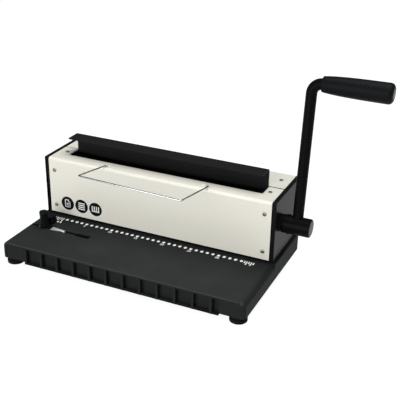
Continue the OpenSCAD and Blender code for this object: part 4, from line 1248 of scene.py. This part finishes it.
@dataclass
class Housing:
    """Side plates, covers, their screws and the printed badges, in millimetres."""

    shop: Workshop
    plate_in: float = 174.8
    plate_out: float = 181.0
    front: float = 4.0
    back: float = 106.0
    deck: float = 33.5
    top: float = 123.65
    sheet: float = 1.5
    bend: float = 4.0
    cover_half: float = 174.6
    cover_low: float = 36.8
    cut_half: float = 153.0
    cut_front: float = 26.0
    seam: tuple[float, float] = (51.2, 53.6)
    shaft: tuple[float, float] = (32.0, 83.5)
    bush_r: float = 9.05
    bush_x: float = 178.0
    bush_cut: float = 20.0
    flange: tuple[float, float] = (14.8, 4.0)
    flange_ends: tuple[float, float] = (30.0, 82.0)
    plate_edge: float = 0.9
    cover_edge: float = 0.3
    screws_front: tuple[float, ...] = (49.0, 105.0)
    screws_top: tuple[float, ...] = (34.0, 78.6)
    screw_front_x: float = 165.0
    screw_top_x: float = 161.0
    recess: tuple[float, float] = (1.7, 0.4)
    recess_z: tuple[float, float] = (0.6, 3.0)
    badges: tuple[float, ...] = (-145.2, -121.1, -97.2)
    badge_z: float = 54.7
    badge_r: float = 10.8

    def build(self) -> None:
        """Builds all pieces of the housing."""
        self.plates()
        self.covers()
        self.screws()
        for picture, x in zip(Picture, self.badges):
            self.badge(picture, x)

    def plates(self) -> None:
        """Shapes the right side plate with its foot flange, and mirrors it."""
        y, z = self.shaft
        plate = Bench.box("right_plate", (self.plate_in, self.front, self.deck),
                          (self.plate_out, self.back, self.top))
        wide, thick = self.flange
        start, end = self.flange_ends
        Bench.weld_box(plate, (self.plate_in - wide, start, self.deck),
                       (self.plate_in + 1, end, self.deck + thick))
        hole = Bench.drum("bush_hole", self.bush_r, self.bush_cut, (self.bush_x, y, z), Way.X)
        Bench.combine(plate, hole, Work.CUT)
        Bench.soften(plate, self.plate_edge, 3)
        twin = Bench.mirror(plate, "left_plate")
        Bench.soften(twin, 0.0)
        self.shop.deliver(plate, Body.FRAME, Finishes.PLATE, ["right_side_plate"])
        self.shop.deliver(twin, Body.FRAME, Finishes.PLATE, ["left_side_plate"])

    def covers(self) -> None:
        """Bends the front and rear covers, cuts the top opening and lays a black strip in the
        seam gap, as painted shade.
        """
        front = Bench.sheet("front_cover_sheet", (-self.cover_half, self.front, self.cover_low),
                            (self.cover_half, self.seam[0], self.top), self.sheet, self.bend,
                            Side.FRONT)
        Bench.cut_box(front, (-self.cut_half, self.cut_front, self.top - 4),
                      (self.cut_half, self.seam[0] + 1, self.top + 1))
        Bench.soften(front, self.cover_edge, 2)
        rear = Bench.sheet("rear_cover_sheet", (-self.cover_half, self.seam[1], self.deck + 0.2),
                           (self.cover_half, self.back, self.top), self.sheet, self.bend,
                           Side.BACK)
        Bench.soften(rear, self.cover_edge, 2)
        self.shop.deliver(front, Body.FRAME, Finishes.CREAM, ["front_cover"])
        self.shop.deliver(rear, Body.FRAME, Finishes.CREAM, ["rear_cover"])
        # Painted shade: a black strip under the seam, right of the opening, darkens the gap.
        shade_strip = Bench.box("seam_shade_strip", (self.cut_half, self.seam[0], self.top - self.sheet),
                         (self.cover_half, self.seam[1], self.top - 0.2))
        Bench.soften(shade_strip, 0.25, 2)
        self.shop.deliver(shade_strip, Body.FRAME, Finishes.SEAL)

    def screws(self) -> None:
        """Turns one pan-head screw with a cross recess and sets copies at its eight places."""
        first = Bench.lathe("screw", [
            (0.0, -4.5), (1.5, -4.5), (1.5, 0.0), (2.85, 0.0), (2.85, 0.5), (2.65, 0.95),
            (2.0, 1.3), (1.0, 1.45), (0.0, 1.5)], (0, 0, 0), steps=24)
        floor, top = self.recess_z
        for x, y in (self.recess, self.recess[::-1]):
            Bench.cut_box(first, (-x, -y, floor), (x, y, top))
        made = []
        for side in (-1, 1):
            made += [Bench.copy(first, (side * self.screw_front_x, self.front, z), Way.FORWARD)
                     for z in self.screws_front]
            made += [Bench.copy(first, (side * self.screw_top_x, y, self.top))
                     for y in self.screws_top]
        Bench.discard(first)
        piece = Bench.join(made, "cover_screw_set")
        Bench.soften(piece, 0.0)
        self.shop.deliver(piece, Body.FRAME, Finishes.FASTENER, ["cover_screws"])

    @staticmethod
    def strokes(picture: Picture) -> list[Stroke]:
        """Draws a plain picture of a sheet, a stack or a comb in upright strokes.

        Args:
            picture: which one.

        Returns:
            The lowest and highest corner of each stroke, from the badge's middle.
        """
        if picture is Picture.SHEET:
            return [((-4.6, -6.2), (4.6, -5.0)), ((-4.6, 5.0), (1.4, 6.2)),
                    ((-4.6, -6.2), (-3.4, 6.2)), ((3.4, -6.2), (4.6, 3.2)),
                    ((1.0, 2.2), (4.6, 3.4)), ((1.0, 2.2), (2.2, 6.2)),
                    ((-2.0, -3.2), (2.0, -2.0)), ((-2.0, -0.6), (2.0, 0.6))]
        if picture is Picture.STACK:
            return [((-5.6, z - 0.8), (5.6, z + 0.8)) for z in (-4.8, -1.6, 1.6, 4.8)]
        return [((-6.4, -4.4), (6.4, -2.6))] + [
            ((at - 0.8, -3.2), (at + 0.8, 4.8)) for at in (-5.4, -1.8, 1.8, 5.4)]

    def badge(self, picture: Picture, x: float) -> None:
        """Prints one round badge and the picture on it.

        Args:
            picture: which picture.
            x: the middle of the badge.
        """
        disc = Bench.drum(f"badge_{picture.value}", self.badge_r, 0.2,
                          (x, self.front - 0.05, self.badge_z), Way.FORWARD, 48)
        Bench.soften(disc, 0.05, 1)
        self.shop.deliver(disc, Body.FRAME, Finishes.BADGE)
        y = self.front - 0.2
        parts = [Bench.box("stroke", (x + a[0], y - 0.04, self.badge_z + a[1]),
                           (x + b[0], y + 0.08, self.badge_z + b[1]))
                 for a, b in self.strokes(picture)]
        drawn = Bench.join(parts, f"badge_picture_{picture.value}")
        self.shop.deliver(drawn, Body.FRAME, Finishes.PRINT)


@dataclass
class Hood:
    """The closing hood and the jaw that it meets, in millimetres."""

    shop: Workshop
    half: float = 152.3
    ear: float = 157.5
    low: float = 108.0
    ear_top: float = 121.0
    front: float = 25.8
    plate: tuple[float, float] = (49.8, 51.8)
    top: float = 150.15
    bend: float = 3.5
    sheet: float = 2.0
    edge: float = 0.45
    jaw_half: float = 150.0
    jaw_sheet: float = 3.0
    jaw_bend: float = 4.0
    jaw_lap: float = 2.0
    jaw_tab: tuple[float, float] = (3.0, 20.0)
    jaw_edge: float = 0.4
    jaw_web: tuple[float, float] = (45.5, 48.5)
    jaw_front: float = 28.0
    jaw_top: float = 120.0
    jaw_low: float = 60.0
    jaw_shoulder: float = 91.35
    plate_in: float = 174.8

    def build(self) -> None:
        """Builds the hood and the jaw."""
        hood = Bench.sheet("closing_hood", (-self.half, self.front, self.low),
                           (self.half, self.plate[1], self.top), self.sheet, self.bend, Side.BACK)
        Bench.weld_box(hood, (-self.ear, self.plate[0], self.low),
                       (self.ear, self.plate[1], self.ear_top))
        Bench.soften(hood, self.edge, 3)
        self.shop.deliver(hood, Body.PRESS, Finishes.HOOD, ["hood"])
        lap = self.jaw_shoulder - self.jaw_lap
        jaw = Bench.sheet("closing_jaw", (-self.jaw_half, self.jaw_front, lap),
                          (self.jaw_half, self.jaw_web[1], self.jaw_top), self.jaw_sheet,
                          self.jaw_bend, Side.BACK)
        Bench.weld_box(jaw, (-self.plate_in, self.jaw_web[0], self.jaw_low),
                       (self.plate_in, self.jaw_web[1], self.jaw_shoulder))
        for side in (-1, 1):
            ends = sorted((side * self.plate_in, side * (self.plate_in - self.jaw_tab[0])))
            Bench.weld_box(jaw, (ends[0], self.jaw_web[0], self.jaw_low),
                           (ends[1], self.jaw_web[0] + self.jaw_tab[1], lap))
        Bench.soften(jaw, self.jaw_edge, 2)
        # The jaw takes the darkest black finish, which also paints the shade it stands in below
        # the hood.
        self.shop.deliver(jaw, Body.FRAME, Finishes.SATIN, ["lower_jaw"])


@dataclass
class Lever:
    """Hub, cross pin, bent rod and grip, drawn upright and leaned back, in millimetres."""

    shop: Workshop
    shaft: tuple[float, float] = (32.0, 83.5)
    lean: float = 5.9
    hub: tuple[float, float] = (182.4, 222.0)
    hub_r: float = 12.8
    bore: float = 7.05
    bore_end: float = 217.05
    pin_x: float = 190.6
    pin_r: float = 2.5
    pin_clear: float = 0.05
    pin_proud: float = 1.2
    pin_edge: float = 0.5
    rod_x: float = 202.4
    rod_r: float = 7.3
    rod_low: float = 7.2
    rod_clear: float = 0.1
    hole_deep: float = 20.0
    length: float = 195.0
    bend: float = 13.5
    grip_len: float = 90.0
    grip_r: float = 13.5
    grip_taper: float = 3.3
    grip_fade: float = 24.0
    grip_end: float = 6.0
    grip_rings: tuple[float, ...] = (2.5, 5, 8, 12, 16, 20, 26, 32, 40, 50, 60, 70, 80)
    rod_tip: float = 80.0

    def fit(self, piece: bpy.types.Object, finish: Finish, replaces: Sequence[str] = (),
            degrees: float = 35.0) -> None:
        """Smooths a piece, leans it back onto the main shaft and delivers it.

        Args:
            piece: the piece, drawn upright round the shaft.
            finish: how it looks.
            replaces: the frame's nodes that it stands for.
            degrees: the sharpest corner that is shaded smooth.
        """
        Bench.soften(piece, 0.0, degrees=degrees)
        piece.matrix_world = (Matrix.Translation(Vector((0, *self.shaft)) * MM)
                              @ Matrix.Rotation(math.radians(-self.lean), 4, "X"))
        Bench.settle(piece, piece.name)
        self.shop.deliver(piece, Body.LEVER, finish, replaces)

    def build(self) -> None:
        """Builds all pieces of the lever."""
        self.make_hub()
        self.make_rod()
        self.make_grip()

    def make_hub(self) -> None:
        """Turns the hub with a lighter end face, and the pin through it."""
        start, end = self.hub
        r = self.hub_r
        profile = [(self.bore, start), (r - 0.8, start), (r, start + 0.8), (r, end - 1.2),
                   (r - 1.2, end), (0.0, end), (0.0, self.bore_end), (self.bore, self.bore_end),
                   (self.bore, start)]
        hub = Bench.lathe("lever_hub_turned", profile, (0, 0, 0), Way.X, 64)
        hole = Bench.drum("rod_hole", self.rod_r + self.rod_clear, self.hole_deep,
                          (self.rod_x, 0, self.rod_low + self.hole_deep / 2), sides=48)
        Bench.combine(hub, hole, Work.CUT)
        hole = Bench.drum("pin_hole", self.pin_r + self.pin_clear, 60, (self.pin_x, 0, 0),
                          sides=32)
        Bench.combine(hub, hole, Work.CUT)
        self.fit(hub, Finishes.SATIN, ["lever_hub"], 30.0)
        end_r = r - 1.6
        face = Bench.lathe("hub_end_face", [(0.0, end - 0.05), (end_r, end - 0.05),
                                            (end_r, end + 0.12), (end_r - 0.4, end + 0.22),
                                            (0.0, end + 0.22)], (0, 0, 0), Way.X, 64)
        self.fit(face, Finishes.END)
        half, edge, pin_r = r + self.pin_proud, self.pin_edge, self.pin_r
        pin = Bench.lathe("hub_cross_pin", [
            (0.0, -half), (pin_r - edge, -half), (pin_r, edge - half), (pin_r, half - edge),
            (pin_r - edge, half), (0.0, half)], (self.pin_x, 0, 0), steps=32)
        self.fit(pin, Finishes.SATIN, ["hub_pin"])

    def make_rod(self) -> None:
        """Lays the rod up from the hub and bends it out to the grip."""
        corner = (self.rod_x, 0, self.length)
        rod = Bench.pipe("lever_rod_bent", self.rod_r,
                         [(self.rod_x, 0, self.rod_low), corner,
                          (self.rod_x + self.bend + self.rod_tip, 0, self.length)],
                         [self.bend], 40)
        self.fit(rod, Finishes.SATIN, ["lever_rod"])

    def radius(self, along: float) -> float:
        """Gives the grip's radius at a distance from its thin end."""
        return self.grip_r - self.grip_taper * math.exp(-along / self.grip_fade)

    def make_grip(self) -> None:
        """Turns the swelling grip with its round end, and the cap let into that end."""
        body, end = self.grip_len - self.grip_end, self.grip_len
        bore, floor = self.rod_r + 0.05, self.rod_tip + 0.05
        flat = self.radius(body) - self.grip_end
        profile = [(bore, floor), (bore, 0.0), (self.radius(0) - 0.5, 0.0),
                   (self.radius(0.5), 0.5)]
        profile += [(self.radius(along), along) for along in self.grip_rings]
        profile += [(flat + self.grip_end * math.cos(a), body + self.grip_end * math.sin(a))
                    for a in (math.radians(d) for d in range(0, 91, 10))]
        profile += [(flat - 0.3, end - 0.7), (0.0, end - 0.7), (0.0, floor), (bore, floor)]
        place = (self.rod_x + self.bend, 0, self.length)
        grip = Bench.lathe("lever_grip_turned", profile, place, Way.X, 56)
        self.fit(grip, Finishes.GRIP, ["lever_grip"], 40.0)
        cap_r = flat - 0.7
        cap = Bench.lathe("grip_end_cap", [(0.0, end - 0.75), (cap_r, end - 0.75),
                                           (cap_r, end - 0.25), (cap_r - 0.4, end - 0.05),
                                           (0.0, end)], place, Way.X, 56)
        self.fit(cap, Finishes.CAP, degrees=40.0)


@dataclass
class Bail:
    """The wire bail, in millimetres."""

    shop: Workshop
    pivot: tuple[float, float] = (10.7, 125.553)
    half: float = 80.5
    half_front: float = 76.8
    length: float = 79.6
    wire: float = 1.1
    lift: float = 9.4
    twist: float = 2.2
    pin_end: float = 72.6
    corner: float = 3.0
    bend: float = 2.2

    def build(self) -> None:
        """Lays the wire from pin to pin, with splayed legs and a slight twist."""
        y, z = self.pivot
        angle = math.radians(self.lift)
        front, high = y - self.length * math.cos(angle), z + self.length * math.sin(angle)
        points = [(self.pin_end, y, z), (self.half, y, z),
                  (self.half_front, front, high - self.twist),
                  (-self.half_front, front, high + self.twist),
                  (-self.half, y, z), (-self.pin_end, y, z)]
        wire = Bench.pipe("bail_wire", self.wire, points,
                          [self.bend, self.corner, self.corner, self.bend], 20)
        Bench.soften(wire, 0.0, 1, 50.0)
        self.shop.deliver(wire, Body.BAIL, Finishes.CHROME, ["wire_bail"])


@dataclass
class SideGuide:
    """Knob, fence and pointer of the side guide, in millimetres."""

    shop: Workshop
    x: float = -156.6
    y: float = -41.5
    deck: float = 33.7
    foot_top: float = 36.0
    top: float = 59.1
    radius: float = 6.5
    waist: float = 6.1
    cap_h: float = 5.0
    fence: tuple[float, float] = (-34.6, -20.0)
    fence_top: float = 45.5
    fence_w: float = 6.0
    clamp_half: float = 3.0
    strip: tuple[float, float] = (-165.0, -122.0)
    strip_low: float = 29.8
    strip_half: float = 2.2
    root: float = -144.5
    pointer_y: tuple[float, float] = (-46.1, -37.5)
    pointer_tip: float = 1.1
    pointer_t: float = 0.6

    def build(self) -> None:
        """Builds the knob, the fence and the pointer."""
        self.knob()
        self.fence_block()
        self.pointer()

    def knob(self) -> None:
        """Turns the knob: a flared foot, a waist, a ring groove and a dished cap."""
        r, low, top, waist = self.radius, self.foot_top, self.top, self.waist
        cap = top - self.cap_h
        profile = [(0.0, low), (r - 0.2, low), (r, low + 0.3), (r - 0.1, low + 1.6),
                   (waist + 0.3, low + 3.4), (waist, low + 5.5), (waist, cap - 3.0),
                   (waist + 0.2, cap - 0.9), (waist - 0.4, cap - 0.6), (waist - 0.4, cap),
                   (r - 0.5, cap + 0.1), (r, cap + 0.8), (r, top - 1.3), (r - 0.4, top - 0.4),
                   (r - 1.3, top), (3.4, top), (2.9, top - 0.5), (0.0, top - 0.6)]
        knob = Bench.lathe("guide_knob_turned", profile, (self.x, self.y, 0), steps=48)
        Bench.soften(knob, 0.0, 1, 30.0)
        self.shop.deliver(knob, Body.GUIDE, Finishes.GRIP, ["guide_knob"])

    def fence_block(self) -> None:
        """Moulds the fence on its round foot, with a low black block beside the knob that covers
        the strip out to the pointer's root.
        """
        right = self.x + self.radius
        fence = Bench.drum("guide_fence_moulded", self.radius, self.foot_top - self.deck,
                           (self.x, self.y, (self.foot_top + self.deck) / 2))
        Bench.weld_box(fence, (right - self.fence_w, self.y, self.deck),
                       (right, self.fence[1], self.foot_top))
        Bench.weld_box(fence, (right - self.fence_w, self.fence[0], self.deck),
                       (right, self.fence[1], self.fence_top))
        Bench.weld_box(fence, (right - 1, self.y - self.clamp_half, self.deck),
                       (self.root + 0.3, self.y + self.clamp_half, self.foot_top))
        Bench.soften(fence, 0.45, 2)
        self.shop.deliver(fence, Body.GUIDE, Finishes.FENCE, ["guide_fence"])

    def pointer(self) -> None:
        """Shapes the bright strip in the slot and the pointer that narrows on top of it."""
        strip = Bench.box("guide_pointer", (self.strip[0], self.y - self.strip_half,
                                            self.strip_low),
                          (self.strip[1], self.y + self.strip_half, self.deck))
        tongue = Bench.box("tongue", (self.root, self.pointer_y[0], self.deck - 0.1),
                           (self.strip[1], self.pointer_y[1], self.deck + self.pointer_t))
        tip = self.strip[1] * MM
        for limit, edge in ((self.pointer_y[0], -1), (self.pointer_y[1], 1)):
            Bench.select(tongue, Element.VERT, lambda v: abs(v.co.x - tip) < NEAR
                         and abs(v.co.y - limit * MM) < NEAR)
            move = self.y + edge * self.pointer_tip - limit
            bpy.ops.transform.translate(value=(0, move * MM, 0))
            bpy.ops.object.mode_set(mode="OBJECT")
        Bench.combine(strip, tongue, Work.WELD)
        Bench.soften(strip, 0.15, 2)
        self.shop.deliver(strip, Body.GUIDE, Finishes.NICKEL, ["guide_strip"])


@dataclass
class Springs:
    """The two return springs, in millimetres, wound at their rest length; the real ones shorten
    as the press comes down.
    """

    shop: Workshop
    wire: float = 1.2
    turns: int = 7
    sides: int = 10
    steps: int = 24
    stroke: float = 18.7

    def build(self) -> None:
        """Winds the right spring where its node is, and mirrors it."""
        low, high = (Vector(corner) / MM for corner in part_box("right_return_spring"))
        rise = high.z - low.z - self.wire
        radius = (high.x - low.x - self.wire) / 2
        Bench.clear()
        bpy.ops.mesh.primitive_circle_add(vertices=self.sides, radius=self.wire / 2 * MM,
                                          location=(radius * MM, 0, 0),
                                          rotation=(math.pi / 2, 0, 0))
        coil = Bench.settle(bpy.context.object, "right_coil")
        Bench.modify(coil, "SCREW", axis="Z", angle=math.tau, steps=self.steps,
                     render_steps=self.steps, iterations=self.turns,
                     screw_offset=rise / self.turns * MM)
        coil.location = Vector(((low.x + high.x) / 2, (low.y + high.y) / 2,
                                low.z + self.wire / 2)) * MM
        Bench.settle(coil, "right_coil")
        bpy.ops.object.mode_set(mode="EDIT")
        bpy.ops.mesh.select_all(action="SELECT")
        bpy.ops.mesh.fill_holes(sides=0)
        bpy.ops.object.mode_set(mode="OBJECT")
        Bench.clean(coil)
        twin = Bench.mirror(coil, "left_coil")
        for side, piece in ((1, coil), (-1, twin)):
            node = "right_return_spring" if side > 0 else "left_return_spring"
            Bench.soften(piece, 0.0, degrees=50.0)
            self.shop.deliver(piece, Body.FRAME, Finishes.SPRING, [node])
            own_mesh(piece)


@dataclass(frozen=True)
class Lamp:
    """One soft square lamp.

    Attributes:
        name: the lamp's name.
        place: where it hangs, in metres.
        size: the side of its square, in metres.
        power: its power, in watts.
    """

    name: str
    place: tuple[float, float, float]
    size: float
    power: float


@dataclass
class Studio:
    """Floor, lamps, world and camera, in metres; the camera stands where the photograph's did."""

    position: tuple[float, float, float] = (0.475424, -0.897436, 0.572413)
    azimuth: float = 24.1638
    elevation: float = 25.2731
    roll: float = 1.0738
    lens: float = 72.0
    sensor: float = 36.0
    sight: float = 50.0
    ambient: float = 0.15
    lamps: tuple[Lamp, ...] = (Lamp("key_lamp", (-0.4, -2.4, 0.55), 1.6, 48.0),
                               Lamp("top_lamp", (0.35, 0.12, 1.6), 1.2, 24.0))
    aim: tuple[float, float, float] = (0.05, 0.0, 0.08)
    floor_size: float = 40.0
    floor_tone: Tone = (0.86, 0.86, 0.86)
    floor_seen: Tone = (0.20, 0.20, 0.20)
    floor_glow: float = 0.93

    def build(self) -> None:
        """Sets up the whole studio."""
        bpy.context.scene.view_settings.view_transform = "Standard"
        self.camera()
        self.floor()
        self.world()
        for lamp in self.lamps:
            self.hang(lamp)

    def camera(self) -> None:
        """Adds the camera."""
        a, e = math.radians(self.azimuth), math.radians(self.elevation)
        ahead = Vector((-math.sin(a) * math.cos(e), math.cos(a) * math.cos(e), -math.sin(e)))
        Bench.clear()
        bpy.ops.object.camera_add(location=self.position)
        camera = bpy.context.object
        camera.rotation_mode = "QUATERNION"
        camera.rotation_quaternion = (ahead.to_track_quat("-Z", "Y")
                                      @ Quaternion((0, 0, 1), math.radians(self.roll)))
        camera.data.sensor_width = self.sensor
        camera.data.lens = self.lens
        camera.data.clip_end = self.sight
        bpy.context.scene.camera = camera

    def hang(self, lamp: Lamp) -> None:
        """Hangs one lamp so that it faces the machine.

        Args:
            lamp: its values.
        """
        Bench.clear()
        bpy.ops.object.light_add(type="AREA", location=lamp.place)
        made = bpy.context.object
        made.name = lamp.name
        made.data.size = lamp.size
        made.data.energy = lamp.power
        ahead = Vector(self.aim) - Vector(lamp.place)
        made.rotation_euler = ahead.to_track_quat("-Z", "Y").to_euler()

    def floor(self) -> None:
        """Lays a pale floor that shows white and keeps the machine's shadow."""
        Bench.clear()
        bpy.ops.mesh.primitive_plane_add(size=self.floor_size, location=(0, 0, 0))
        floor = Bench.settle(bpy.context.object, "floor")
        material = bpy.data.materials.new("pale_floor")
        material.use_nodes = True
        tree = material.node_tree
        shader = tree.nodes["Principled BSDF"]
        shader.inputs["Roughness"].default_value = 0.9
        shader.inputs["Specular IOR Level"].default_value = 0.1
        path = tree.nodes.new("ShaderNodeLightPath")
        seen = path.outputs["Is Camera Ray"]
        for name in ("Is Glossy Ray", "Is Transmission Ray"):
            seen = Effects.maths(tree, "ADD", seen, path.outputs[name], clamp=True)
        colour = Finishes.blend(tree, seen, self.floor_tone, self.floor_seen)
        tree.links.new(colour, shader.inputs["Base Color"])
        shader.inputs["Emission Color"].default_value = (1.0, 1.0, 1.0, 1.0)
        glow = Effects.maths(tree, "MULTIPLY", seen, self.floor_glow)
        tree.links.new(glow, shader.inputs["Emission Strength"])
        floor.data.materials.append(material)

    def world(self) -> None:
        """Lights the scene evenly from a plain pale sky."""
        world = bpy.data.worlds.new("studio_world")
        bpy.context.scene.world = world
        world.use_nodes = True
        shader = world.node_tree.nodes["Background"]
        shader.inputs["Color"].default_value = (1.0, 1.0, 1.0, 1.0)
        shader.inputs["Strength"].default_value = self.ambient


def write_sizes() -> None:
    """Brings the view layer up to date."""
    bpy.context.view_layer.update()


def main() -> None:
    """Builds the studio and the machine, in order."""
    logging.basicConfig(level=logging.INFO, format="%(name)s: %(message)s")
    Studio().build()
    shop = Workshop()
    for unit in (Base(shop), Drawer(shop), Housing(shop), Hood(shop), Lever(shop), Bail(shop),
                 SideGuide(shop), Springs(shop)):
        unit.build()
    shop.dress_nodes()
    write_sizes()


if __name__ == "__main__":
    main()
